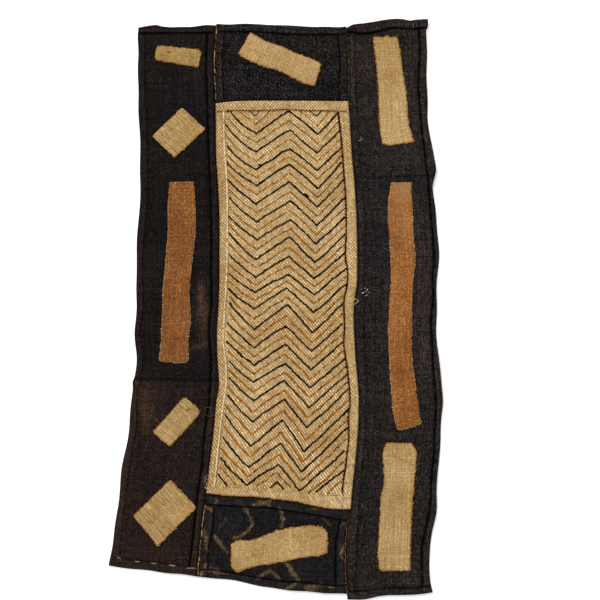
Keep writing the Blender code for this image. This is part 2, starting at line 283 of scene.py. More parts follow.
def ripples(x, y, length, seed):
    # gentle unevenness between -1 and 1, with waves of about this length
    draw = np.random.default_rng(seed)
    total = 0.0
    for turn in draw.uniform(0.0, 2.0 * np.pi, 6):
        wave = 2.0 * np.pi / (length * draw.uniform(0.7, 1.4))
        total = total + np.sin(wave * (x * np.cos(turn) + y * np.sin(turn)) + draw.uniform(0, 6.3))
    return total / 3.0


def underside(x, y):
    # height of the border cloth's underside over the floor
    x, y = np.asarray(x, float), np.asarray(y, float)
    total = sum(height * swell((y - fold) / reach) for fold, height, reach in storageFolds)
    for liftX, liftY, reachX, reachY, height in lifts:
        total = total + height * swell((x - liftX) / reachX) * swell((y - liftY) / reachY)
    for startX, startY, endX, endY, halfWidth, height in creases:
        distance, along = strokeDistance(x, y, (startX, startY, endX, endY))
        total = total + height * np.exp(-(distance / halfWidth) ** 2)
    total = total + 0.12 + 0.10 * ripples(x, y, 46.0, 11) + 0.05 * ripples(x, y, 17.0, 12)
    return np.maximum(total, 0.0)


# Small helpers

def deselectAll():
    for thing in bpy.context.view_layer.objects:
        thing.select_set(False)
    bpy.context.view_layer.objects.active = None


def makeActive(piece):
    deselectAll()
    piece.select_set(True)
    bpy.context.view_layer.objects.active = piece


def addPointValue(mesh, name, values):
    layer = mesh.attributes.new(name, "FLOAT", "POINT")
    layer.data.foreach_set("value", np.ascontiguousarray(values, np.float32).ravel())


def sheetFromGrid(name, x, y, low, high, clothU, clothV, values, material):
    # a closed sheet from rows of points: the grid is given its thickness, then both faces are laid
    rows, columns = x.shape
    deselectAll()
    bpy.ops.mesh.primitive_grid_add(x_subdivisions=columns - 1, y_subdivisions=rows - 1, size=1.0)
    piece = bpy.context.active_object
    piece.name = name
    mesh = piece.data
    mesh.name = name
    count = rows * columns
    place = np.zeros(count * 3, np.float32)
    mesh.vertices.foreach_get("co", place)
    place = place.reshape(-1, 3)
    column = np.rint((place[:, 0] + 0.5) * (columns - 1)).astype(int)
    row = np.rint((place[:, 1] + 0.5) * (rows - 1)).astype(int)
    place[:, 0] = x[row, column] * mm
    place[:, 1] = y[row, column] * mm
    mesh.vertices.foreach_set("co", place.ravel())
    solid = piece.modifiers.new("Thickness", "SOLIDIFY")
    solid.thickness = clothLayers["single"] * mm
    solid.offset = 1.0
    bpy.ops.object.modifier_apply(modifier=solid.name)
    both = np.zeros(2 * count * 3, np.float32)
    mesh.vertices.foreach_get("co", both)
    both = both.reshape(2, count, 3)
    upper = int(both[1, :, 2].mean() > both[0, :, 2].mean())
    both[upper, :, 2] = high[row, column] * mm
    both[1 - upper, :, 2] = low[row, column] * mm
    mesh.vertices.foreach_set("co", both.ravel())
    spread = np.zeros((2 * count, 2), np.float32)
    spread[:, 0] = np.tile(clothU[row, column], 2) * mm
    spread[:, 1] = np.tile(clothV[row, column], 2) * mm
    corner = np.zeros(len(mesh.loops), np.int32)
    mesh.loops.foreach_get("vertex_index", corner)
    while mesh.uv_layers:
        mesh.uv_layers.remove(mesh.uv_layers[0])
    mesh.uv_layers.new(name="Cloth").data.foreach_set("uv", spread[corner].ravel())
    for key, value in values.items():
        addPointValue(mesh, key, np.tile(value[row, column], 2))
    mesh.shade_smooth()
    mesh.materials.clear()
    mesh.materials.append(material)
    mesh.update()
    return piece


# Shader groups that several finishes share

def feed(tree, socket, value):
    if isinstance(value, bpy.types.NodeSocket):
        tree.links.new(value, socket)
    else:
        socket.default_value = value


def calc(tree, operation, *values, clamp=False):
    step = tree.nodes.new("ShaderNodeMath")
    step.operation = operation
    step.use_clamp = clamp
    for socket, value in zip(step.inputs, values):
        feed(tree, socket, value)
    return step.outputs[0]


def moveVector(tree, operation, first, second):
    step = tree.nodes.new("ShaderNodeVectorMath")
    step.operation = operation
    feed(tree, step.inputs[0], first)
    feed(tree, step.inputs["Scale" if operation == "SCALE" else 1], second)
    return step.outputs[0]


def mixColour(tree, share, first, second, mode="MIX"):
    step = tree.nodes.new("ShaderNodeMix")
    step.data_type = "RGBA"
    step.blend_type = mode
    feed(tree, step.inputs[0], share)
    feed(tree, step.inputs[6], first)
    feed(tree, step.inputs[7], second)
    return step.outputs[2]


def spanTo(tree, value, fromLow, fromHigh, toLow, toHigh):
    step = tree.nodes.new("ShaderNodeMapRange")
    for socket, item in zip(step.inputs, (value, fromLow, fromHigh, toLow, toHigh)):
        feed(tree, socket, item)
    return step.outputs[0]


def cloudy(tree, place, scale, detail, output="Fac"):
    step = tree.nodes.new("ShaderNodeTexNoise")
    feed(tree, step.inputs["Vector"], place)
    step.inputs["Scale"].default_value = scale
    step.inputs["Detail"].default_value = detail
    return step.outputs[output]


def chance(tree, number):
    # an even random value for each whole number
    step = tree.nodes.new("ShaderNodeTexWhiteNoise")
    step.noise_dimensions = "1D"
    feed(tree, step.inputs["W"], number)
    return step.outputs["Value"]


def newGroup(name, inputs, outputs):
    tree = bpy.data.node_groups.new(name, "ShaderNodeTree")
    for label, kind, value in inputs:
        socket = tree.interface.new_socket(name=label, in_out="INPUT", socket_type="NodeSocket" + kind)
        if value is not None:
            socket.default_value = value
    for label, kind in outputs:
        tree.interface.new_socket(name=label, in_out="OUTPUT", socket_type="NodeSocket" + kind)
    start = tree.nodes.new("NodeGroupInput")
    end = tree.nodes.new("NodeGroupOutput")
    return tree, start.outputs, end.inputs


def placeGroup(tree, group, values):
    step = tree.nodes.new("ShaderNodeGroup")
    step.node_tree = group
    for label, value in values.items():
        feed(tree, step.inputs[label], value)
    return step.outputs


def weaveSockets():
    inputs = (("Cloth", "Vector", None), ("Across", "Float", 0.002), ("Along", "Float", 0.002),
              ("Lean", "Float", 0.3), ("Wander", "Float", 0.0006), ("Open", "Float", 0.5))
    outputs = (("Height", "Float"), ("Gap", "Float"), ("Strand", "Float"), ("Over", "Float"),
               ("Float", "Float"))
    return inputs, outputs


def wanderingCloth(tree, given, scale):
    # the two directions of the cloth, with strands that wander a little
    drift = moveVector(tree, "SUBTRACT", cloudy(tree, given["Cloth"], scale, 2.0, "Color"),
                       (0.5, 0.5, 0.5))
    cloth = moveVector(tree, "ADD", given["Cloth"], moveVector(tree, "SCALE", drift, given["Wander"]))
    parts = tree.nodes.new("ShaderNodeSeparateXYZ")
    tree.links.new(cloth, parts.inputs[0])
    return parts.outputs[0], parts.outputs[1]


def makeWeave():
    # over and under raffia strands: lit floats, the strand that each belongs to, and the gaps
    tree, given, result = newGroup("raffia weave", *weaveSockets())
    u, v = wanderingCloth(tree, given, 70.0)
    across = calc(tree, "DIVIDE", u, given["Across"])
    along = calc(tree, "DIVIDE", v, given["Along"])
    warp, weft = calc(tree, "FLOOR", across), calc(tree, "FLOOR", along)
    over = calc(tree, "PINGPONG", calc(tree, "ADD", warp, weft), 1.0)
    sideX = calc(tree, "SUBTRACT", calc(tree, "SUBTRACT", across, warp), 0.5)
    sideY = calc(tree, "SUBTRACT", calc(tree, "SUBTRACT", along, weft), 0.5)
    warpSide = calc(tree, "MULTIPLY_ADD", sideY, given["Lean"], sideX)
    weftSide = calc(tree, "MULTIPLY_ADD", sideX, given["Lean"], sideY)
    widthWay = calc(tree, "ADD", warpSide, calc(
        tree, "MULTIPLY", over, calc(tree, "SUBTRACT", weftSide, warpSide)))
    lengthWay = calc(tree, "ADD", sideY, calc(
        tree, "MULTIPLY", over, calc(tree, "SUBTRACT", sideX, sideY)))
    fall = calc(tree, "ADD",
                calc(tree, "MULTIPLY", calc(tree, "MULTIPLY", widthWay, widthWay), 3.6),
                calc(tree, "MULTIPLY", calc(tree, "MULTIPLY", lengthWay, lengthWay), 1.8))
    height = calc(tree, "SUBTRACT", 1.0, fall, clamp=True)
    strandNumber = calc(tree, "ADD", calc(tree, "MULTIPLY", warp, calc(tree, "SUBTRACT", 1.0, over)),
                        calc(tree, "MULTIPLY", calc(tree, "ADD", weft, 0.37), over))
    floatNumber = calc(tree, "MULTIPLY_ADD", warp, 17.31, calc(tree, "MULTIPLY", weft, 3.77))
    tree.links.new(height, result["Height"])
    tree.links.new(spanTo(tree, height, 0.0, given["Open"], 1.0, 0.0), result["Gap"])
    tree.links.new(chance(tree, strandNumber), result["Strand"])
    tree.links.new(over, result["Over"])
    tree.links.new(chance(tree, floatNumber), result["Float"])
    return tree


def makeFloats():
    # slanting floats broken into short lengths: two crossing sets of ridges, one stronger
    tree, given, result = newGroup("raffia floats", *weaveSockets())
    u, v = wanderingCloth(tree, given, 70.0)
    across = calc(tree, "DIVIDE", u, given["Across"])
    along = calc(tree, "DIVIDE", v, given["Along"])
    rising, falling = calc(tree, "ADD", across, along), calc(tree, "SUBTRACT", across, along)
    waves = [calc(tree, "COSINE", calc(tree, "MULTIPLY", slope, 2.0 * math.pi))
             for slope in (rising, falling)]
    wave = calc(tree, "ADD", calc(tree, "MULTIPLY", waves[0], given["Lean"]),
                calc(tree, "MULTIPLY", waves[1], calc(tree, "SUBTRACT", 1.0, given["Lean"])))
    height = calc(tree, "MULTIPLY_ADD", wave, 0.5, 0.5)
    strip = calc(tree, "FLOOR", calc(tree, "ADD", rising, 0.5))
    cross = calc(tree, "FLOOR", calc(tree, "ADD", falling, 0.5))
    tree.links.new(height, result["Height"])
    tree.links.new(spanTo(tree, height, 0.0, given["Open"], 1.0, 0.0), result["Gap"])
    tree.links.new(chance(tree, strip), result["Strand"])
    tree.links.new(calc(tree, "PINGPONG", strip, 1.0), result["Over"])
    tree.links.new(chance(tree, calc(tree, "MULTIPLY_ADD", strip, 17.31,
                                     calc(tree, "MULTIPLY", cross, 3.77))), result["Float"])
    return tree


def makeRibs():
    # close ribs across the cloth, each with its own tone, broken into short lengths
    tree, given, result = newGroup("ribbed raffia", *weaveSockets())
    u, v = wanderingCloth(tree, given, 110.0)
    slanted = calc(tree, "MULTIPLY_ADD", u, given["Lean"], v)
    along = calc(tree, "DIVIDE", slanted, given["Along"])
    rib = calc(tree, "FLOOR", along)
    side = calc(tree, "SUBTRACT", calc(tree, "SUBTRACT", along, rib), 0.5)
    height = calc(tree, "SUBTRACT", 1.0, calc(tree, "MULTIPLY", calc(tree, "MULTIPLY", side, side), 4.0))
    strand = chance(tree, rib)
    across = calc(tree, "ADD", calc(tree, "DIVIDE", u, given["Across"]),
                  calc(tree, "MULTIPLY", strand, 7.0))
    piece = calc(tree, "MULTIPLY_ADD", rib, 13.71, calc(tree, "MULTIPLY", calc(tree, "FLOOR", across), 3.17))
    tree.links.new(height, result["Height"])
    tree.links.new(spanTo(tree, height, 0.0, given["Open"], 1.0, 0.0), result["Gap"])
    tree.links.new(strand, result["Strand"])
    tree.links.new(chance(tree, rib), result["Over"])
    tree.links.new(chance(tree, piece), result["Float"])
    return tree


def makeUnevenDye():
    # dye taken up unevenly: broad clouds of a deeper tone and small faded spots
    tree, given, result = newGroup(
        "uneven dye",
        (("Place", "Vector", None), ("Colour", "Color", None), ("Deep", "Color", None),
         ("Faded", "Color", None), ("Cloudy", "Float", 0.5), ("Spotty", "Float", 0.4)),
        (("Colour", "Color"),))
    broad = spanTo(tree, cloudy(tree, given["Place"], 16.0, 3.0), 0.35, 0.65, 0.0, 1.0)
    small = spanTo(tree, cloudy(tree, given["Place"], 210.0, 2.0), 0.48, 0.78, 0.0, 1.0)
    deeper = mixColour(tree, calc(tree, "MULTIPLY", broad, given["Cloudy"]),
                       given["Colour"], given["Deep"])
    tree.links.new(mixColour(tree, calc(tree, "MULTIPLY", small, given["Spotty"]),
                             deeper, given["Faded"]), result["Colour"])
    return tree


def makeLint():
    # specks of dust and loose fibre caught in the weave, in drifts
    tree, given, result = newGroup("dust and lint", (("Place", "Vector", None), ("Amount", "Float", 0.5)),
                                   (("Mask", "Float"),))
    speck = spanTo(tree, cloudy(tree, given["Place"], 640.0, 2.0), 0.60, 0.72, 0.0, 1.0)
    drift = spanTo(tree, cloudy(tree, given["Place"], 34.0, 2.0), 0.35, 0.65, 0.25, 1.0)
    tree.links.new(calc(tree, "MULTIPLY", calc(tree, "MULTIPLY", speck, drift), given["Amount"]),
                   result["Mask"])
    return tree


def makeSlubs():
    # thick and thin strands that run on through the cloth, one way and the other
    tree, given, result = newGroup(
        "thick and thin strands", (("Cloth", "Vector", None), ("Down", "Float", 0.5), ("Over", "Float", 0.5)),
        (("Tone", "Float"),))
    tones = []
    for stretch, share in (((620.0, 16.0, 0.0), "Down"), ((16.0, 620.0, 0.0), "Over")):
        spread = moveVector(tree, "MULTIPLY", given["Cloth"], stretch)
        lines = spanTo(tree, cloudy(tree, spread, 1.0, 2.0), 0.3, 0.7, -0.5, 0.5)
        tones.append(calc(tree, "MULTIPLY", lines, given[share]))
    tree.links.new(calc(tree, "ADD", calc(tree, "ADD", tones[0], tones[1]), 1.0), result["Tone"])
    return tree


def makeGrain():
    # fine light and dark fibres, finer than a strand
    tree, given, result = newGroup("fibre grain", (("Place", "Vector", None), ("Amount", "Float", 0.1)),
                                   (("Tone", "Float"),))
    fine = spanTo(tree, cloudy(tree, given["Place"], 720.0, 2.0), 0.34, 0.66, -1.0, 1.0)
    tree.links.new(calc(tree, "MULTIPLY_ADD", fine, given["Amount"], 1.0), result["Tone"])
    return tree


def makeFoldShade():
    # shade painted into the grooves beside hems and seams, into gaps and under folds
    tree, given, result = newGroup(
        "shaded fold",
        (("Colour", "Color", None), ("Shade", "Color", None), ("PaintedShade", "Float", 0.0)),
        (("Colour", "Color"),))
    tree.links.new(mixColour(tree, given["PaintedShade"], given["Colour"], given["Shade"]),
                   result["Colour"])
    return tree


weaveGroups = {"woven": makeWeave(), "floats": makeFloats(), "ribbed": makeRibs()}
dyeGroup = makeUnevenDye()
lintGroup = makeLint()
slubGroup = makeSlubs()
grainGroup = makeGrain()
foldGroup = makeFoldShade()
print("shader groups made")


# Finishes

def tone(red, green, blue):
    # a photographed 0 to 255 colour as light, for the level that the lamps give the cloth
    lit = [value / 255.0 for value in (red, green, blue)]
    lit = [v / 12.92 if v <= 0.04045 else ((v + 0.055) / 1.055) ** 2.4 for v in lit]
    return (*[v / clothLight for v in lit], 1.0)


clothLight = 1.16


def startFinish(name, look):
    material = bpy.data.materials.new(name)
    material.use_nodes = True
    tree = material.node_tree
    shader = tree.nodes["Principled BSDF"]
    shader.inputs["Roughness"].default_value = look["rough"]
    shader.inputs["Specular IOR Level"].default_value = look["sheen"]
    return material, tree, shader


def readValue(tree, name):
    step = tree.nodes.new("ShaderNodeAttribute")
    step.attribute_name = name
    return step.outputs["Fac"]


def clothPlace(tree):
    coordinates = tree.nodes.new("ShaderNodeTexCoord")
    return coordinates.outputs["Object"]


def clothSpread(tree, turn=0.0):
    source = tree.nodes.new("ShaderNodeUVMap")
    source.uv_map = "Cloth"
    turned = tree.nodes.new("ShaderNodeMapping")
    turned.inputs["Rotation"].default_value = (0.0, 0.0, math.radians(turn))
    tree.links.new(source.outputs[0], turned.inputs["Vector"])
    return turned.outputs[0]


def addBump(tree, shader, height, strength, distance):
    bump = tree.nodes.new("ShaderNodeBump")
    bump.inputs["Strength"].default_value = strength
    bump.inputs["Distance"].default_value = distance * mm
    tree.links.new(height, bump.inputs["Height"])
    tree.links.new(bump.outputs["Normal"], shader.inputs["Normal"])


darkFinishes = {
    "black": {"colour": (29, 24, 22), "deep": (19, 16, 16), "faded": (44, 36, 32), "cool": (18, 19, 24),
              "warm": (44, 33, 28), "worn": (88, 66, 50), "lint": (92, 82, 76), "across": 1.7,
              "along": 1.8, "single": 0.42, "dusty": 0.55, "grain": 0.22, "slubs": (0.7, 0.4)},
    "grained": {"colour": (29, 26, 25), "deep": (17, 15, 16), "faded": (48, 42, 40),
                "cool": (19, 20, 24), "warm": (44, 35, 30), "worn": (88, 66, 50),
                "lint": (112, 104, 98), "across": 1.9, "along": 2.1, "single": 0.80, "dusty": 0.75,
                "grain": 0.25, "slubs": (0.7, 0.5)},
    "umber": {"colour": (38, 30, 27), "deep": (27, 22, 20), "faded": (56, 45, 38), "cool": (25, 24, 26),
              "warm": (58, 41, 29), "worn": (86, 60, 40), "lint": (100, 86, 76), "across": 1.7,
              "along": 1.8, "single": 0.42, "dusty": 0.50, "grain": 0.28, "slubs": (0.7, 0.4)},
    "charcoal": {"colour": (43, 37, 34), "deep": (28, 24, 23), "faded": (66, 58, 54),
                 "cool": (23, 24, 28), "warm": (50, 40, 35), "worn": (88, 76, 66),
                 "lint": (108, 100, 94), "across": 1.7, "along": 1.9, "single": 0.60, "dusty": 0.70,
                 "grain": 0.32, "slubs": (0.8, 0.4)},
    "resist": {"colour": (31, 29, 30), "deep": (20, 19, 21), "faded": (48, 45, 44),
               "cool": (21, 22, 26), "warm": (44, 38, 30), "worn": (128, 99, 66),
               "lint": (94, 88, 82), "across": 1.7, "along": 1.8, "single": 0.40, "dusty": 0.5,
               "grain": 0.25, "slubs": (0.6, 0.5)},
}


def makeDarkRaffia(name, look):
    material, tree, shader = startFinish("raffia " + name, {"rough": 0.9, "sheen": 0.03})
    place = clothPlace(tree)
    spread = clothSpread(tree)
    weave = placeGroup(tree, weaveGroups["woven"], {
        "Cloth": spread, "Across": look["across"] * mm, "Along": look["along"] * mm,
        "Lean": 0.15, "Wander": 0.0009, "Open": 0.5})
    dyed = placeGroup(tree, dyeGroup, {
        "Place": place, "Colour": tone(*look["colour"]), "Deep": tone(*look["deep"]),
        "Faded": tone(*look["faded"]), "Cloudy": 0.75, "Spotty": 0.5})["Colour"]
    tint = readValue(tree, "tint")
    cooled = mixColour(tree, calc(tree, "MULTIPLY", tint, 1.0, clamp=True), dyed, tone(*look["cool"]))
    tinted = mixColour(tree, calc(tree, "MULTIPLY", tint, -1.0, clamp=True), cooled, tone(*look["warm"]))
    # the turned hems are paler; along their folded edges the paler band is partly wear and partly a painted
    # highlight
    folded = mixColour(tree, calc(tree, "MULTIPLY", readValue(tree, "hem"), 0.30), tinted,
                       tone(*look["faded"]))
    worn = calc(tree, "MULTIPLY", readValue(tree, "worn"),
                spanTo(tree, cloudy(tree, place, 330.0, 3.0), 0.32, 0.60, 0.45, 1.1), clamp=True)
    faded = mixColour(tree, worn, folded, tone(*look["worn"]))
    less, more = 1.0 - 0.5 * look["single"], 1.0 + 0.5 * look["single"]
    strand = spanTo(tree, weave["Strand"], 0.0, 1.0, less, more)
    single = spanTo(tree, weave["Float"], 0.0, 1.0, 1.0 - look["single"], 1.0 + look["single"])
    slubDown, slubOver = look["slubs"]
    slub = placeGroup(tree, slubGroup, {"Cloth": spread, "Down": slubDown, "Over": slubOver})["Tone"]
    grain = placeGroup(tree, grainGroup, {"Place": place, "Amount": look["grain"]})["Tone"]
    uneven = calc(tree, "MULTIPLY", calc(tree, "MULTIPLY", strand, single), calc(
        tree, "MULTIPLY", slub, grain))
    shaded = mixColour(tree, 1.0, faded, uneven, "MULTIPLY")
    # painted shade: the gaps between strands are darkened towards near black
    gapped = mixColour(tree, calc(tree, "MULTIPLY", weave["Gap"], 0.42), shaded, tone(9, 8, 8))
    lint = placeGroup(tree, lintGroup, {"Place": place, "Amount": look["dusty"]})["Mask"]
    dusty = mixColour(tree, lint, gapped, tone(*look["lint"]))
    # painted shade: near black mixed in by the painted shade mask in grooves, beside seams and under folds
    final = placeGroup(tree, foldGroup, {"Colour": dusty, "Shade": tone(4, 3, 3),
                                         "PaintedShade": readValue(tree, "paintedShade")})["Colour"]
    tree.links.new(final, shader.inputs["Base Color"])
    relief = calc(tree, "MULTIPLY_ADD", cloudy(tree, place, 900.0, 2.0), 0.5, weave["Height"])
    addBump(tree, shader, relief, 0.5, 0.30)
    return material


# gap is the shade painted into the gaps between floats
paleFinishes = {
    "straw": {"light": (244, 220, 170), "mid": (238, 212, 160), "gap": (138, 94, 36),
              "deep": (196, 160, 104), "faded": (232, 206, 162), "rim": (120, 64, 14),
              "dot": (112, 70, 30), "soil": (150, 112, 92), "kind": "floats", "across": 3.75,
              "along": 4.0, "lean": 0.57, "wander": 3.0, "open": 1.0, "rest": 0.5, "fieldGap": 0.45,
              "hemGap": 1.5, "patchy": (0.45, 1.25), "slubDown": 0.38, "slubOver": 0.26,
              "single": 0.30, "grain": 0.13, "dots": 0.8},
    "fineTan": {"light": (204, 173, 119), "mid": (191, 158, 104), "gap": (120, 84, 40),
                "deep": (164, 124, 70), "faded": (206, 176, 124), "rim": (140, 82, 26),
                "dot": (120, 78, 36), "soil": (150, 112, 80), "kind": "woven", "across": 1.5,
                "along": 1.7, "lean": 0.2, "wander": 1.4, "open": 0.5, "rest": 0.0, "fieldGap": 0.55,
                "hemGap": 0.55, "patchy": (0.5, 1.2), "slubDown": 0.45, "slubOver": 0.32,
                "single": 0.20, "grain": 0.22, "dots": 0.6},
    "ribbedTan": {"light": (203, 171, 115), "mid": (188, 156, 100), "gap": (98, 64, 28),
                  "deep": (164, 124, 70), "faded": (208, 178, 126), "rim": (112, 66, 22),
                  "dot": (120, 78, 36), "soil": (150, 112, 80), "kind": "ribbed", "across": 6.0,
                  "along": 1.75, "lean": 0.0, "wander": 2.0, "open": 0.75, "rest": 0.0,
                  "fieldGap": 0.80, "hemGap": 0.80, "patchy": (0.4, 1.4), "slubDown": 0.30,
                  "slubOver": 0.70, "single": 0.20, "grain": 0.22, "dots": 0.5},
    "labelTan": {"light": (180, 148, 90), "mid": (168, 134, 79), "gap": (98, 64, 28),
                 "deep": (150, 112, 60), "faded": (190, 158, 100), "rim": (104, 62, 22),
                 "dot": (110, 70, 30), "soil": (150, 112, 80), "kind": "ribbed", "across": 3.0,
                 "along": 1.5, "lean": 0.0, "wander": 1.8, "open": 0.6, "rest": 0.0,
                 "fieldGap": 0.35, "hemGap": 0.35, "patchy": (0.4, 1.3), "slubDown": 0.36,
                 "slubOver": 0.28, "single": 0.22, "grain": 0.24, "dots": 0.6},
    "brown": {"light": (172, 114, 64), "mid": (152, 96, 52), "gap": (78, 42, 16),
              "deep": (112, 62, 28), "faded": (168, 114, 64), "rim": (120, 76, 40),
              "dot": (72, 40, 16), "soil": (110, 80, 60), "kind": "woven", "across": 1.6,
              "along": 1.8, "lean": 0.5, "wander": 1.0, "open": 0.55, "rest": 0.0, "fieldGap": 1.0,
              "hemGap": 1.0, "patchy": (0.6, 1.2), "slubDown": 0.55, "slubOver": 0.45, "single": 0.38,
              "grain": 0.20, "dots": 0.8},
    "lightBrown": {"light": (188, 126, 68), "mid": (166, 108, 56), "gap": (84, 46, 16),
                   "deep": (128, 74, 34), "faded": (184, 126, 72), "rim": (120, 76, 40),
                   "dot": (78, 42, 16), "soil": (172, 136, 94), "kind": "woven", "across": 1.6,
                   "along": 1.8, "lean": 0.5, "wander": 1.0, "open": 0.55, "rest": 0.0,
                   "fieldGap": 0.8, "hemGap": 0.8, "patchy": (0.6, 1.2), "slubDown": 0.55,
                   "slubOver": 0.45, "single": 0.36, "grain": 0.22, "dots": 0.8},
}


def makePaleRaffia(name, look):
    material, tree, shader = startFinish("raffia " + name, {"rough": 0.85, "sheen": 0.06})
    place = clothPlace(tree)
    spread = clothSpread(tree)
    weave = placeGroup(tree, weaveGroups[look["kind"]], {
        "Cloth": spread, "Across": look["across"] * mm, "Along": look["along"] * mm,
        "Lean": readValue(tree, "lean") if look["kind"] == "floats" else look["lean"],
        "Wander": look["wander"] * mm, "Open": look["open"]})
    floats = mixColour(tree, weave["Over"], tone(*look["light"]), tone(*look["mid"]))
    dyed = placeGroup(tree, dyeGroup, {
        "Place": place, "Colour": floats, "Deep": tone(*look["deep"]),
        "Faded": tone(*look["faded"]), "Cloudy": 0.65, "Spotty": 0.40})["Colour"]
    strand = spanTo(tree, weave["Strand"], 0.0, 1.0, 0.90, 1.08)
    single = spanTo(tree, weave["Float"], 0.0, 1.0, 1.0 - look["single"], 1.0 + look["single"])
    slub = placeGroup(tree, slubGroup, {"Cloth": spread, "Down": look["slubDown"],
                                        "Over": look["slubOver"]})["Tone"]
    grain = placeGroup(tree, grainGroup, {"Place": place, "Amount": look["grain"]})["Tone"]
    uneven = calc(tree, "MULTIPLY", calc(tree, "MULTIPLY", strand, single), calc(
        tree, "MULTIPLY", slub, grain))
    shaded = mixColour(tree, 1.0, dyed, uneven, "MULTIPLY")
    dots = calc(tree, "MULTIPLY", weave["Height"],
                spanTo(tree, weave["Float"], 0.94, 0.98, 0.0, look["dots"]))
    dotted = mixColour(tree, dots, shaded, tone(*look["dot"]))
    # painted shade: the gaps between floats are darkened towards the gap tone, more deeply in the hems
    coarse = readValue(tree, "hem")
    gapShare = calc(tree, "MULTIPLY_ADD", coarse, look["hemGap"] - look["fieldGap"], look["fieldGap"])
    patchy = spanTo(tree, cloudy(tree, place, 24.0, 3.0), 0.36, 0.64, *look["patchy"])
    gapDepth = calc(tree, "MULTIPLY_ADD", calc(tree, "SUBTRACT", weave["Gap"], look["rest"]),
                    calc(tree, "MULTIPLY", gapShare, patchy), look["rest"], clamp=True)
    gapped = mixColour(tree, gapDepth, dotted, tone(*look["gap"]))
    # real stains and, on the laid pieces, shade painted along folds and creases, both in the rim colour
    stainedAndShaded = mixColour(tree, readValue(tree, "stainAndFoldShade"), gapped, tone(*look["rim"]))
    soiled = mixColour(tree, readValue(tree, "soil"), stainedAndShaded, tone(*look["soil"]))
    ragged = spanTo(tree, cloudy(tree, place, 420.0, 2.0), 0.35, 0.6, 0.35, 1.0)
    rimmed = mixColour(tree, calc(tree, "MULTIPLY", readValue(tree, "rim"), ragged), soiled,
                       tone(*look["rim"]))
    # painted shade: dark brown mixed in by the painted shade mask in the grooves and beside seams
    final = placeGroup(tree, foldGroup, {"Colour": rimmed, "Shade": tone(60, 30, 8),
                                         "PaintedShade": readValue(tree, "paintedShade")})["Colour"]
    tree.links.new(final, shader.inputs["Base Color"])
    relief = calc(tree, "MULTIPLY_ADD", cloudy(tree, place, 900.0, 2.0), 0.4, weave["Height"])
    addBump(tree, shader, relief, 0.6, 0.30)
    return material


threadFinishes = {
    "blackThread": {"fresh": (10, 5, 2), "faded": (108, 76, 46), "rough": 0.9, "sheen": 0.02},
    "brownThread": {"fresh": (100, 52, 6), "faded": (214, 140, 50), "rough": 0.85, "sheen": 0.04},
    "hemThread": {"fresh": (26, 12, 4), "faded": (128, 76, 28), "rough": 0.85, "sheen": 0.03},
    "edgeThread": {"fresh": (92, 54, 18), "faded": (204, 146, 70), "rough": 0.85, "sheen": 0.04},
    "edgeShadow": {"fresh": (40, 22, 8), "faded": (150, 98, 40), "rough": 0.85, "sheen": 0.03},
    "paleThread": {"fresh": (160, 118, 66), "faded": (242, 218, 172), "rough": 0.85, "sheen": 0.06},
    "seamThread": {"fresh": (78, 50, 28), "faded": (190, 148, 98), "rough": 0.85, "sheen": 0.04},
    "rustThread": {"fresh": (78, 36, 12), "faded": (172, 98, 40), "rough": 0.85, "sheen": 0.04},
    "darkThread": {"fresh": (12, 10, 9), "faded": (84, 72, 62), "rough": 0.9, "sheen": 0.02},
    "lintThread": {"fresh": (96, 96, 98), "faded": (226, 228, 230), "rough": 0.9, "sheen": 0.03},
}


def makeThread(name, look):
    material, tree, shader = startFinish(name, look)
    place = clothPlace(tree)
    fibre = spanTo(tree, cloudy(tree, place, 1500.0, 2.0), 0.3, 0.7, 0.8, 1.2)
    dyed = mixColour(tree, readValue(tree, "shade"), tone(*look["fresh"]), tone(*look["faded"]))
    tree.links.new(mixColour(tree, 1.0, dyed, fibre, "MULTIPLY"), shader.inputs["Base Color"])
    addBump(tree, shader, cloudy(tree, place, 2600.0, 1.0), 0.5, 0.2)
    return material


finishes = {name: makeDarkRaffia(name, look) for name, look in darkFinishes.items()}
finishes.update({name: makePaleRaffia(name, look) for name, look in paleFinishes.items()})
finishes.update({name: makeThread(name, look) for name, look in threadFinishes.items()})
print("finishes made:", len(finishes))
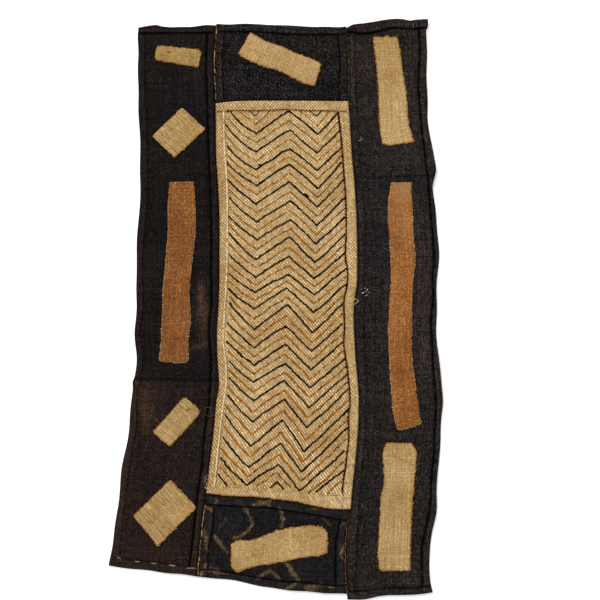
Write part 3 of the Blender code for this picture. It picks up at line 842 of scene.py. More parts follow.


# Panels

# Each hem is (its inner line, how much shade is painted into its groove, which also sets how deep the groove
# sinks), or nothing where the edge is plain
panels = {
    "panel_left_upper": {
        "edges": ("outerLeft", "leftSeam", "topLeft", "leftJoin"),
        "hems": (("leftStripOuter", 0.35), ("leftStripInner", 1.7), ("leftStripTop", 1.2), None),
        "step": 2.3, "dye": "black", "slot": "black_raffia", "flat": (0.124, 0.453), "area": 0.0525},
    "panel_left_lower": {
        "edges": ("outerLeft", "leftSeam", "leftJoin", "bottomLeft"),
        "hems": (("leftStripOuter", 0.35), ("leftStripInner", 1.6), None, ("leftStripBottom", 0.5)),
        "step": 2.3, "dye": "umber", "slot": "umber_raffia", "flat": (0.125, 0.256), "area": 0.0311},
    "panel_top": {
        "edges": ("leftSeam", "rightSeam", "topMiddle", "centreTop"),
        "hems": ((10.0, 0.6), ("topPanelRight", 0.9), ("topPanelTop", 0.9), None),
        "step": 2.2, "dye": "grained", "slot": "black_raffia", "flat": (0.188, 0.107),
        "area": 0.0191},
    "panel_centre": {
        "edges": ("leftSeam", "rightSeam", "centreTop", "centreBottom"),
        "hems": (("centreLeft", 0.0), ("centreRight", 1.0), ("centreTop", 0.10),
                 ("centreBottom", 0.10)),
        "step": 1.6, "dye": "straw", "slot": "straw_raffia", "flat": (0.196, 0.528), "area": 0.1021},
    "panel_bottom": {
        "edges": ("leftSeam", "rightSeam", "centreBottom", "bottomMiddle"),
        "hems": (("bottomPanelLeft", 0.9), ("bottomPanelRight", 1.3), ("bottomPanelTop", 1.0),
                 ("bottomPanelBottom", 1.0)),
        "step": 1.5, "dye": "resist", "slot": "resist_dyed_raffia", "flat": (0.209, 0.128),
        "area": 0.0259},
    "panel_right_upper": {
        "edges": ("rightSeam", "outerRight", "topRight", "rightJoin"),
        "hems": (("rightStripInner", 0.3), ("rightStripOuter", 1.3), ("rightStripTop", 1.2), None),
        "step": 2.3, "dye": "charcoal", "slot": "charcoal_raffia", "flat": (0.118, 0.206),
        "area": 0.0238},
    "panel_right_lower": {
        "edges": ("rightSeam", "outerRight", "rightJoin", "bottomRight"),
        "hems": (("rightStripInner", 0.3), ("rightStripOuter", 1.3), None,
                 ("rightStripBottom", 0.9)),
        "step": 2.3, "dye": "charcoal", "slot": "charcoal_raffia", "flat": (0.121, 0.538),
        "area": 0.0638},
}

panelMake = {
    "seamGap": 0.05,           # between two panels sewn edge to edge
    "rimRadius": 0.9,          # roundness of an outer edge
    "crispSteps": (0.0, 0.3, 0.8, 1.6),
    "seamShade": {"leftSeam": 1.0, "rightSeam": 1.0, "leftJoin": 0.55, "rightJoin": 0.35,
                  "centreTop": 0.9, "centreBottom": 0.9},
    # the hems' paler tone includes a band along each folded edge that is partly wear and partly a painted
    # highlight
    "hemFade": {"charcoal": 0.25},     # how much paler the turned hems look than the others do
    "seamReach": 1.1,          # how far its shade reaches, more on the dark panels
    "doubled": 0.5,            # rise where one hem lies over another
    "grooveDepth": 0.35,
    "grooveReach": 1.35,
    "groovePlace": 0.8,        # how far outside the hem's inner edge the groove lies
    "fitRounds": 5,
    "openLow": 0.22,           # how much wider apart the weft lies in the lower half
}

# Worn and faded places: x, y, half size across, half size along, tilt in degrees, strength
wornPlaces = (
    (-91, -4, 7, 26, 4, 0.68),
    (-93, 22, 5, 12, -8, 0.45),
    (-96, -46, 14, 4, 20, 0.45),
    (-160, -136, 7, 17, -10, 0.38),
    (-165, -110, 11, 22, 0, 0.22),
    (-152, -120, 14, 40, -12, 0.09),
    (113, 250, 7, 7, 0, 0.25),
    (118, 22, 12, 7, 0, 0.18),
    (186, -40, 12, 60, 0, 0.12),
    (186, 20, 9, 120, 0, 0.12),
    (60, 330, 22, 14, 0, 0.08),
)

# Tints: x, y, half size across, half size along, tilt, then bluish black above 0 or brown below
tintPlaces = (
    (-112, 238, 34, 38, 0, 0.55),
    (-158, 190, 14, 50, 0, 0.25),
    (-150, 345, 40, 14, 0, -0.35),
    (-120, 60, 16, 60, 0, 0.20),
    (-162, 20, 12, 50, 0, -0.30),
    (-98, -75, 20, 20, 0, 0.45),
    (-155, -70, 26, 14, 0, 0.30),
    (-166, -120, 14, 30, 0, -0.40),
    (-185, -230, 14, 60, 0, -0.30),
    (-112, -175, 24, 60, 0, 0.06),
    (-140, -140, 10, 14, 0, 0.20),
    (-150, -305, 40, 12, 0, -0.25),
    (145, 158, 60, 14, 0, 0.65),
    (96, 305, 4, 40, 0, -0.70),
    (115, 320, 14, 26, 0, -0.35),
    (178, 290, 10, 60, 0, -0.35),
    (120, 215, 20, 16, 0, 0.25),
    (118, 60, 18, 60, 0, 0.45),
    (120, -60, 16, 60, 0, 0.35),
    (186, 30, 10, 60, 0, -0.20),
    (186, -150, 12, 60, 0, 0.25),
    (115, -250, 18, 60, 0, 0.30),
    (150, -345, 60, 12, 0, -0.20),
    (-40, 300, 40, 30, 0, 0.30),
    (60, 290, 24, 20, 0, 0.35),
    (-70, 330, 14, 20, 0, -0.20),
    (-60, -300, 30, 16, 0, 0.40),
    (50, -325, 26, 14, 0, 0.50),
    (0, -262, 60, 14, 0, 0.20),
)

# Deep shade under a fold or in a gap: x, y, half size across, half size along, tilt, strength
deepShades = (
    (93, 347.5, 6, 2.6, 10, 1.0),
    (102, 344.8, 8, 2.0, -4, 1.0),
    (113, 344.6, 9, 1.0, 4, 0.5),
    (-160, -87.5, 18, 1.0, 0, 0.7),
    (99, 166, 5, 6, 0, 0.9),
    (200, 168, 3, 4, 0, 0.8),
    (-75, -246, 10, 1.6, -8, 0.5),
    (84, 8, 1.4, 6, 0, 0.25),
    (-101, -90, 3, 14, 12, 0.35),
    (80, -262, 5, 3, 0, 0.5),
    (-79, -286, 2.0, 14, 0, 0.5),
)

# Marks the dye didn't reach on the bottom panel: from x, y, to x, y, half width at each end, strength
resistMarks = (
    (-86, -247, -79, -253, 3.0, 1.2, 0.8),
    (-78, -246, -74, -240, 1.8, 2.4, 0.8),
    (-30, -245, -8, -240, 2.0, 3.6, 0.75),
    (-20, -241, -8, -245, 2.6, 1.2, 0.7),
    (-40, -246, -33.5, -257, 2.0, 1.8, 0.8),
    (-33.5, -257, -29, -268, 1.8, 2.0, 0.8),
    (-29, -268, -34.5, -277, 2.0, 2.2, 0.8),
    (-34.5, -277, -45, -284, 2.4, 2.0, 0.75),
    (-46, -284, -52, -287, 2.2, 2.6, 0.7),
    (5, -248, 9, -262, 1.8, 2.4, 0.7),
    (9, -262, 7, -273, 2.0, 1.4, 0.65),
    (-77, -283, -70, -292, 1.6, 2.8, 0.75),
    (-70, -292, -60, -304, 2.8, 1.4, 0.7),
    (-89, -277, -87, -290, 2.2, 2.8, 0.7),
    (-87, -290, -85, -303, 2.6, 1.6, 0.65),
    (-93, -331, -86, -318, 2.6, 1.8, 0.75),
    (-84, -324, -72, -328, 3.0, 3.2, 0.7),
    (-72, -329, -60, -331, 1.2, 0.8, 0.7),
    (-22, -336, -8, -327, 2.4, 2.2, 0.75),
    (-8, -327, 5, -336, 2.2, 1.8, 0.75),
    (-46, -309, -24, -317, 3.2, 2.6, 0.45),
    (10, -314, 19, -326, 2.0, 2.8, 0.75),
    (19, -326, 30, -340, 2.8, 2.2, 0.75),
    (13, -350, 24, -343, 2.0, 2.4, 0.7),
    (38, -347, 56, -344, 3.4, 2.6, 0.7),
    (56, -344, 73, -348, 1.6, 0.9, 0.7),
    (40, -351, 52, -349, 2.0, 1.6, 0.6),
    (85, -296, 81, -306, 1.6, 2.6, 0.75),
    (81, -306, 84, -313, 1.6, 1.0, 0.7),
    (42, -250, 66, -246, 1.2, 2.2, 0.5),
    (80, -271, 85, -268, 1.6, 1.4, 0.65),
    (60, -262, 68, -270, 1.0, 1.2, 0.35),
    (-62, -262, -70, -272, 1.4, 1.2, 0.3),
    (-88, -352, -70, -340, 1.2, 1.2, 0.3),
    (34, -290, 44, -298, 1.4, 1.2, 0.2),
)

# Stains on the centre: x, y, half size across, half size along, tilt, strength
centreStains = (
    (15.2, 255.2, 3.0, 6.0, 0, 0.30),
    (58, 255, 26, 5.5, 0, 0.09),
)

# Greyish streaks of dirt on it: from x, y, to x, y, half width, strength
centreSoil = (
    (-4, -106, -7, -138, 3.2, 0.30),
    (-6, -140, -9, -174, 3.0, 0.34),
    (-8, -178, -12, -206, 3.4, 0.28),
    (-60, -120, -70, -196, 3.0, 0.10),
)


def spotted(x, y, places):
    # how strongly soft oval spots mark each point
    total = 0.0 * x
    for placeX, placeY, halfX, halfY, tilt, strength in places:
        turn = math.radians(tilt)
        sideways = (x - placeX) * math.cos(turn) + (y - placeY) * math.sin(turn)
        upward = (y - placeY) * math.cos(turn) - (x - placeX) * math.sin(turn)
        total = total + strength * np.exp(-((sideways / halfX) ** 2 + (upward / halfY) ** 2))
    return total


def hemPlace(hem, edge, t, inward):
    # where a hem's inner edge lies, at this place along its edge
    if hem is None:
        return edge
    if isinstance(hem[0], float):
        return edge + inward * hem[0]
    return readCurve(hemLines[hem[0]], t)


def zoneShares(length, step, crispStart, crispEnd):
    # shares of the way across one zone, closer together beside its crisp ends
    crisp = panelMake["crispSteps"]
    start = crisp if crispStart else (0.0,)
    end = crisp if crispEnd else (0.0,)
    inner = length - start[-1] - end[-1]
    count = max(1, round(inner / step))
    middle = [start[-1] + inner * k / count for k in range(1, count)]
    places = list(start) + middle + [length - offset for offset in reversed(end)]
    return [place / length for place in places]


def zoneLines(lengths, step):
    # (zone, share) for every grid line, given the widths of hem, field and hem
    lines = []
    for zone, length in enumerate(lengths):
        if length < 1.0:
            continue
        shares = zoneShares(length, step, True, True)
        skip = 1 if lines else 0
        lines += [(zone, share) for share in shares[skip:]]
    return lines


def seamClearance(edge):
    outer = edge.startswith(("outer", "top", "bottom"))
    return 0.0 if outer else 0.5 * panelMake["seamGap"]


def layPanel(name, plan):
    left, right, top, bottom = plan["edges"]
    hemLeft, hemRight, hemTop, hemBottom = plan["hems"]
    gaps = [seamClearance(edge) for edge in plan["edges"]]

    def acrossKnots(y):
        low, high = longEdge(left, y), longEdge(right, y)
        return [low + gaps[0], hemPlace(hemLeft, low, y, 1.0),
                hemPlace(hemRight, high, y, -1.0), high - gaps[1]]

    def alongKnots(x):
        low, high = crossEdge(bottom, x), crossEdge(top, x)
        return [low + gaps[3], hemPlace(hemBottom, low, x, 1.0),
                hemPlace(hemTop, high, x, -1.0), high - gaps[2]]

    middleX = 0.5 * (longEdge(left, 0.0) + longEdge(right, 0.0))
    knots = alongKnots(middleX)
    middleY = 0.5 * (knots[0] + knots[3])
    along = zoneLines(np.diff(knots), plan["step"])
    across = zoneLines(np.diff(acrossKnots(middleY)), plan["step"])
    shape = (len(along), len(across))
    x, y = np.full(shape, float(middleX)), np.full(shape, float(middleY))
    for _ in range(panelMake["fitRounds"]):
        knots = acrossKnots(y)
        x = np.stack([blend(knots[zone][:, i], knots[zone + 1][:, i], share)
                      for i, (zone, share) in enumerate(across)], axis=1)
        knots = alongKnots(x)
        y = np.stack([blend(knots[zone][j], knots[zone + 1][j], share)
                      for j, (zone, share) in enumerate(along)], axis=0)

    leftX, hemLeftX, hemRightX, rightX = acrossKnots(y)
    bottomY, hemBottomY, hemTopY, topY = alongKnots(x)
    inHem = (hemLeftX - x, x - hemRightX, y - hemTopY, hemBottomY - y)
    toEdge = np.minimum.reduce([x - leftX, rightX - x, topY - y, y - bottomY])

    hemLayers = [np.zeros(shape) if hem is None else easeStep((depth + 0.55) / 0.75)
                 for hem, depth in zip(plan["hems"], inHem)]
    turned = np.maximum.reduce(hemLayers)
    layers = sum(hemLayers)
    crossing = np.maximum(hemLayers[2], hemLayers[3])
    # painted shade: a mask of shade in the hems' grooves, beside seams and under folds; the same mask also
    # sinks the grooves
    paintedShade = np.zeros(shape)
    for k, (hem, depth) in enumerate(zip(plan["hems"], inHem)):
        if hem is not None:
            reach = panelMake["grooveReach"] * (1.0 + 0.3 * ripples(x, y, 19.0, 51))
            groove = np.exp(-((depth + panelMake["groovePlace"]) / reach) ** 2)
            shade = hem[1] * (1.0 - 0.8 * crossing) if k < 2 else hem[1]
            paintedShade = np.maximum(paintedShade, np.clip(shade * groove, 0.0, 1.0))
    seamSides = [x - leftX if gaps[0] else None, rightX - x if gaps[1] else None,
                 topY - y if gaps[2] else None, y - bottomY if gaps[3] else None]
    for edge, distance in zip(plan["edges"], seamSides):
        if distance is not None:
            shade = panelMake["seamShade"][edge]
            reach = panelMake["seamReach"] * (1.0 if plan["dye"] == "straw" else 1.7)
            paintedShade = np.maximum(paintedShade, shade * np.exp(-(distance / reach) ** 2))
    paintedShade = np.maximum(paintedShade, np.clip(spotted(x, y, deepShades), 0.0, 1.0))

    low = underside(x, y)
    thick = blend(clothLayers["single"], clothLayers["turned"], turned)
    thick = thick + panelMake["doubled"] * np.clip(layers - 1.0, 0.0, 1.0)
    rim = np.clip(1.0 - toEdge / panelMake["rimRadius"], 0.0, 1.0)
    fall = 1.0 - np.sqrt(1.0 - rim ** 2)
    pucker = 0.10 * ripples(x, y, 9.0, 21) * (0.35 + 0.65 * np.exp(-(toEdge / 14.0) ** 2))
    high = low + thick + pucker - panelMake["grooveDepth"] * paintedShade - 0.5 * thick * fall
    low = low + 0.3 * thick * fall

    worn = spotted(x, y, wornPlaces)
    if plan["dye"] == "resist":
        worn *= 0.0
        edgeNoise = 1.0 + 0.35 * ripples(x, y, 7.0, 31)
        strengthNoise = np.clip(0.85 + 0.35 * ripples(x, y, 9.0, 32), 0.3, 1.1)
        for startX, startY, endX, endY, startHalf, endHalf, strength in resistMarks:
            distance, share = strokeDistance(x, y, (startX, startY, endX, endY))
            reach = blend(startHalf, endHalf, share) * edgeNoise
            mark = easeStep((1.45 - distance / reach) / 1.15)
            worn = np.maximum(worn, strength * strengthNoise * mark)
    # a paler band along each hem's folded edge: partly edge wear, partly a painted highlight on the raised
    # fold
    foldEdgeWearAndHighlight = sum(np.exp(-((depth - 1.0) / 0.8) ** 2) for hem, depth in zip(plan["hems"], inHem) if hem)
    values = {"paintedShade": paintedShade, "worn": np.clip(worn, 0.0, 1.0),
              "tint": np.clip(spotted(x, y, tintPlaces), -1.0, 1.0), "hem": turned}
    if plan["dye"] != "straw":
        values["hem"] = np.clip(turned + foldEdgeWearAndHighlight, 0.0, 2.0) * panelMake["hemFade"].get(plan["dye"], 1.0)
    if plan["dye"] == "straw":
        notTop = np.minimum.reduce([x - leftX, rightX - x, y - bottomY])
        beads = 0.8 + 0.2 * np.cos(2.0 * np.pi * (x + y) / 3.8)
        values["rim"] = beads * np.exp(-(notTop / 1.05) ** 2)
        height = np.clip((y + 190.0) / 440.0, 0.0, 1.0)
        coarse = blend(0.60, 0.78, height)
        for layer, atBottom, atTop in zip(hemLayers, (1.1, 0.25, 1.2, 0.2), (2.0, 0.8, 1.2, 0.2)):
            coarse = blend(coarse, blend(atBottom, atTop, height), layer)
        plain = spotted(x, y, ((88.5, 254, 5, 7, 0, 1.0),))
        values["hem"] = coarse * (1.0 - 0.85 * plain)
        values["lean"] = blend(blend(0.70, 0.54, height), 0.57, turned)
        values["stainAndFoldShade"] = (blend(0.10, 0.19, height) * hemLayers[0] + 0.07 * hemLayers[2] +
                           np.clip(spotted(x, y, centreStains), 0.0, 1.0))
        soil = 0.0 * x
        for startX, startY, endX, endY, halfWidth, strength in centreSoil:
            distance, share = strokeDistance(x, y, (startX, startY, endX, endY))
            soil = np.maximum(soil, strength * np.exp(-(distance / halfWidth) ** 2))
        values["soil"] = soil
        values["paintedShade"] = 0.5 * paintedShade * easeStep(toEdge / 2.0)

    clothU = x - blend(leftX, rightX, 0.5)
    drawn = np.clip(-y, 0.0, None)
    clothV = y + panelMake["openLow"] * drawn ** 2 / (drawn + 60.0)
    piece = sheetFromGrid(name + "_cloth", x, y, low, high, clothU, clothV, values,
                          finishes[plan["dye"]])
    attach(piece, "root")
    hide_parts(name)
    return piece


panelPieces = {name: layPanel(name, plan) for name, plan in panels.items()}
print("panels laid:", sum(len(piece.data.polygons) for piece in panelPieces.values()), "faces")


# Pieces laid over the border

# corners run far left, far right, near right, near left; sections are a place and the two sides.
# round is each corner's radius in the same order; far, near, left and right move a side outwards
# by so much at shares of the way along it.
patches = {
    "patch_left_label": {
        "corners": ((-148.3, 330), (-94, 324.6), (-97, 302.2), (-150, 311.4)),
        "right": ((0, 0), (0.25, 0.9), (0.8, 1.2), (1, 0)),
        "left": ((0, 0), (0.3, 1.4), (0.7, 0.6), (1, 0)),
        "round": (2.0, 2.2, 2.6, 3.0), "weave": "labelTan", "turn": 90.0, "edge": 0.25,
        "flat": (0.0545, 0.0235), "area": 0.00115},
    "patch_left_diamond": {
        "corners": ((-117.5, 252.5), (-87.5, 225.5), (-126.5, 189.5), (-154.5, 216.5)),
        "round": (1.6, 3.0, 2.0, 1.6), "weave": "ribbedTan", "turn": 0.0, "edge": 0.4,
        "flat": (0.041, 0.052), "area": 0.00203},
    "patch_left_slant": {
        "corners": ((-114.5, -109.5), (-93.5, -127), (-132.5, -172), (-154.0, -153.5)),
        "far": ((0, 0.5), (0.35, 0.8), (0.8, 0), (1, 0)),
        "right": ((0, 0), (0.5, 0.6), (0.85, 1.2), (1, 0)),
        "round": (3.0, 4.0, 2.4, 3.4), "weave": "ribbedTan", "turn": 0.0, "edge": 0.7,
        "flat": (0.0275, 0.0605), "area": 0.00156},
    "patch_left_square": {
        "corners": ((-132, -212.5), (-99, -247.5), (-147, -296), (-178.5, -258.5)),
        "near": ((0, 0), (0.5, -0.4), (0.85, 0.2), (0.95, 1.2), (1, 1.0)),
        "round": (2.6, 2.0, 2.0, 1.2), "weave": "ribbedTan", "turn": 0.0, "edge": 0.8,
        "flat": (0.049, 0.068), "area": 0.00318},
    "patch_top": {
        "corners": ((-32, 346), (57, 307), (49, 279.5), (-47, 319.5)),
        "far": ((0, 0.4), (0.24, -1.8), (0.45, 0.2), (0.62, -0.8), (0.86, 0.8), (1, 0)),
        "near": ((0, 0.5), (0.15, 2.4), (0.33, 2.2), (0.56, 0.3), (0.73, 1.5), (0.92, 2.2), (1, 0)),
        "round": (2.4, 2.6, 3.0, 2.0), "weave": "fineTan", "turn": 0.0, "edge": 0.7,
        "flat": (0.0985, 0.0305), "area": 0.00285},
    "patch_left_long": {
        "upright": ((159.0, -132.0, -102.5), (130.5, -134.5, -101.0), (102.0, -134.5, -100.5),
                    (78.0, -136.0, -102.5), (54.0, -138.5, -105.5), (24.0, -141.0, -108.0),
                    (-11.0, -142.0, -106.5), (-38.0, -143.5, -109.0), (-66.0, -146.0, -109.5)),
        "near": ((0, -1.5), (0.5, 0.8), (0.85, 0.6), (1, -1.0)),
        "round": (1.6, 1.6, 2.4, 2.0), "weave": "brown", "turn": 0.0, "edge": 0.8,
        "flat": (0.0375, 0.226), "area": 0.00756},
    "patch_right_upper": {
        "upright": ((340.5, 122.0, 152.5), (323.0, 124.0, 155.5), (288.0, 127.0, 160.5),
                    (268.0, 128.5, 163.5), (244.0, 129.0, 165.0), (225.5, 130.0, 168.0),
                    (208.0, 133.0, 174.0)),
        "near": ((0, 1.0), (0.2, 3.0), (0.62, 1.0), (0.9, -1.0), (1, -1.0)),
        "left": ((0, 0), (0.9, 0), (0.95, 0.8), (1, 0)),
        "round": (3.4, 3.4, 1.4, 0.9), "weave": "fineTan", "turn": 0.0, "edge": 0.8,
        "flat": (0.038, 0.1335), "area": 0.00455},
    "patch_right_long": {
        "upright": ((158.5, 144.0, 169.0), (129.0, 140.5, 170.5), (80.5, 142.5, 173.0),
                    (62.0, 143.5, 174.5), (33.0, 144.0, 171.5), (5.5, 142.0, 170.5),
                    (-26.0, 141.0, 170.0), (-52.0, 141.5, 170.0), (-82.0, 143.0, 173.0),
                    (-106.0, 145.0, 176.0), (-129.5, 146.5, 179.5), (-148.0, 151.5, 182.5)),
        "near": ((0, 3.0), (0.5, 0.5), (0.9, -4.0), (1, -6.0)),
        "greyed": ((160, 150, 16, 16, 0, 0.45), (156, 110, 14, 24, 0, 0.18)),
        "round": (1.4, 1.4, 1.6, 2.0), "weave": "lightBrown", "turn": 0.0, "edge": 0.8,
        "flat": (0.0325, 0.307), "area": 0.00906},
    "patch_right_lower": {
        "upright": ((-167.0, 137.5, 170.5), (-178.5, 134.0, 176.5), (-191.0, 134.5, 175.5),
                    (-218.5, 135.0, 173.0), (-237.0, 131.0, 171.5), (-259.5, 130.0, 170.0),
                    (-286.0, 128.5, 169.0), (-307.0, 127.5, 168.5), (-327.0, 130.5, 168.0)),
        "left": ((0, 0), (0.03, 1.8), (0.06, 0), (1, 0)),
        "round": (2.4, 3.4, 2.6, 2.4), "weave": "fineTan", "turn": 0.0, "edge": 0.8,
        "flat": (0.0425, 0.161), "area": 0.00634},
    "patch_bottom": {
        "level": ((-56.0, -320.0, -293.0), (-48.5, -326.5, -289.0), (-26.0, -321.5, -287.5),
                  (3.0, -317.0, -276.0), (30.5, -311.0, -271.5), (56.0, -307.5, -271.5),
                  (65.0, -303.0, -279.0)),
        "near": ((0, 1.5), (0.05, 2.4), (0.14, 0), (1, 0)),
        "round": (1.8, 3.0, 2.2, 1.8), "weave": "fineTan", "turn": 0.0, "edge": 1.0,
        "flat": (0.122, 0.041), "area": 0.00441},
}

patchMake = {
    "step": 1.2,
    "ribStep": 0.40,           # grid across the ribs of a ribbed piece
    "ribHeight": 0.05,
    "rimRadius": 1.0,
    "edgeWander": 0.26,
    "edgeTeeth": 0.12,
    "slots": {"ribbedTan": "tan_raffia", "labelTan": "tan_raffia", "fineTan": "tan_raffia",
              "brown": "brown_raffia", "lightBrown": "brown_raffia"},
}


# Stains on the laid pieces: x, y, half width, half height, strength
patchStains = {
    "patch_left_label": ((-134.4, 321.2, 2.2, 1.2, 1.0), (-132.6, 321.8, 1.6, 1.0, 0.6),
                         (-142.5, 318, 2.6, 9, 0.30), (-105.5, 314, 3.4, 10, 0.42),
                         (-99, 305, 4, 3, 0.20)),
    "patch_left_diamond": ((-135, 236.5, 1.4, 1.2, 0.6), (-141.5, 232, 1.2, 1.2, 0.5),
                           (-101.5, 237.5, 1.3, 1.3, 0.5), (-101.5, 214.7, 1.2, 1.2, 0.5),
                           (-125, 192.5, 1.2, 1.2, 0.5), (-130.5, 225, 1.2, 1.2, 0.45),
                           (-136.5, 218.5, 1.2, 1.2, 0.45)),
    "patch_left_slant": ((-109.6, -125.2, 2.2, 1.2, 0.95), (-121, -146, 7, 6, 0.28),
                         (-101, -124, 6, 6, 0.18)),
    "patch_left_square": ((-140.5, -272, 1.8, 1.4, 0.85), (-137, -268, 3.0, 1.2, 0.25),
                          (-126, -243, 4.0, 3.0, 0.15)),
    "patch_top": ((14, 308, 10, 6, 0.10), (-30, 328, 6, 5, 0.10), (40, 296, 5, 5, 0.12)),
    "patch_right_upper": ((146, 296, 3.0, 1.2, 0.30), (140, 291, 8, 3.0, 0.22),
                          (152, 240, 9, 5, 0.10), (139, 212, 1.6, 1.6, 0.35),
                          (145, 216, 1.4, 1.4, 0.3), (160, 224, 1.2, 1.2, 0.3),
                          (150, 330, 4, 6, 0.12), (140, 226, 1.2, 1.2, 0.3)),
    "patch_right_lower": ((137.5, -310, 1.6, 2.0, 0.55), (142, -239, 1.8, 1.6, 0.3),
                          (157, -200, 2.4, 1.4, 0.28), (150, -301, 22, 5.0, 0.16),
                          (148, -290, 20, 5.0, 0.08), (147, -272, 1.4, 1.4, 0.3)),
    "patch_bottom": ((-28, -306, 2.0, 2.0, 0.4), (-24, -304, 5, 3, 0.15), (30, -284, 1.4, 1.4, 0.35),
                     (33, -297, 1.4, 1.4, 0.35), (-10, -300, 8, 6, 0.10), (-46, -315, 6, 6, 0.12)),
    "patch_left_long": ((-126, 144, 12, 10, 0.06), (-120, -52, 10, 8, 0.15), (-122, 8, 12, 6, 0.10)),
    "patch_right_long": ((152, 146, 5, 4, 0.35), (158, -81, 14, 8, 0.28), (156, 40, 12, 6, 0.12),
                         (158, -40, 10, 10, 0.10)),
}

# Folds and dark lines on them: from x, y, to x, y, half width, how dark, height. The darkening is shade
# painted along each fold and crease.
patchFolds = {
    "patch_right_lower": ((141, -181, 169, -193.5, 1.8, 0.34, -0.25),
                          (140, -178, 170, -190, 2.4, 0.0, 0.35),
                          (129, -305, 168, -305, 1.6, 0.20, -0.15)),
    "patch_left_long": ((-129.5, -41.5, -117, -41.5, 0.8, 0.5, 0.0),),
    "patch_left_slant": ((-121.6, -119.8, -100.5, -133.6, 0.8, 0.42, -0.1),),
    "patch_bottom": ((22, -280, 32, -292, 0.8, 0.3, 0.0), (32, -292, 26, -303, 0.8, 0.25, 0.0)),
    "patch_right_upper": ((124, 300, 158, 296, 2.0, 0.10, 0.15),),
}


def patchSpot(plan):
    # a function that turns shares across and along a laid piece into x and y, and its two sizes
    if "corners" in plan:
        farLeft, farRight, nearRight, nearLeft = [np.array(corner, float) for corner in plan["corners"]]

        def spot(u, v):
            near = nearLeft[:, None, None] + (nearRight - nearLeft)[:, None, None] * u
            far = farLeft[:, None, None] + (farRight - farLeft)[:, None, None] * u
            return near + (far - near) * v

        width = 0.5 * (math.dist(farLeft, farRight) + math.dist(nearLeft, nearRight))
        length = 0.5 * (math.dist(farLeft, nearLeft) + math.dist(farRight, nearRight))
        return spot, width, length

    upright = "upright" in plan
    sections = plan["upright"] if upright else plan["level"]
    lowSide = [(row[0], row[1]) for row in sections]
    highSide = [(row[0], row[2]) for row in sections]
    start, end = min(row[0] for row in sections), max(row[0] for row in sections)
    breadth = float(np.mean([row[2] - row[1] for row in sections]))

    def spotUpright(u, v):
        y = blend(start, end, v)
        return np.stack([blend(readCurve(lowSide, y), readCurve(highSide, y), u), y])

    def spotLevel(u, v):
        x = blend(start, end, u)
        return np.stack([x, blend(readCurve(lowSide, x), readCurve(highSide, x), v)])

    if upright:
        return spotUpright, breadth, end - start
    return spotLevel, end - start, breadth


def roundCorners(u, v, width, length, radii):
    # draws the corners of the share grid in to arcs
    farLeft, farRight, nearRight, nearLeft = radii
    halfX, halfY = 0.5 * width, 0.5 * length
    x, y = (u - 0.5) * width, (v - 0.5) * length
    reach = np.maximum(np.abs(x) / halfX, np.abs(y) / halfY)
    safe = np.maximum(reach, 1e-6)
    edgeX, edgeY = x / safe, y / safe
    radius = np.where(y > 0.0, np.where(x < 0.0, farLeft, farRight),
                      np.where(x < 0.0, nearLeft, nearRight))
    overX, overY = np.abs(edgeX) - (halfX - radius), np.abs(edgeY) - (halfY - radius)
    corner = (overX > 0.0) & (overY > 0.0)
    size = np.maximum(np.hypot(overX, overY), 1e-6)
    arcX = np.sign(edgeX) * (halfX - radius + radius * overX / size)
    arcY = np.sign(edgeY) * (halfY - radius + radius * overY / size)
    pull = np.where(corner, reach ** 6, 0.0)
    x = x + (arcX - edgeX) * pull
    y = y + (arcY - edgeY) * pull
    return x / width + 0.5, y / length + 0.5


def moveSides(u, v, width, length, plan):
    # moves each side of a laid piece in or out, most at the side and not at all in the middle
    u, v = u.copy(), v.copy()
    moved = []
    for side, place, share, size, way in (("left", v, 1.0 - 2.0 * u, width, -1.0),
                                          ("right", v, 2.0 * u - 1.0, width, 1.0),
                                          ("near", u, 1.0 - 2.0 * v, length, -1.0),
                                          ("far", u, 2.0 * v - 1.0, length, 1.0)):
        offset = readCurve(plan[side], place) if side in plan else 0.0 * place
        moved.append(way * offset * np.clip(share, 0.0, 1.0) ** 2 / size)
    return u + moved[0] + moved[1], v + moved[2] + moved[3]


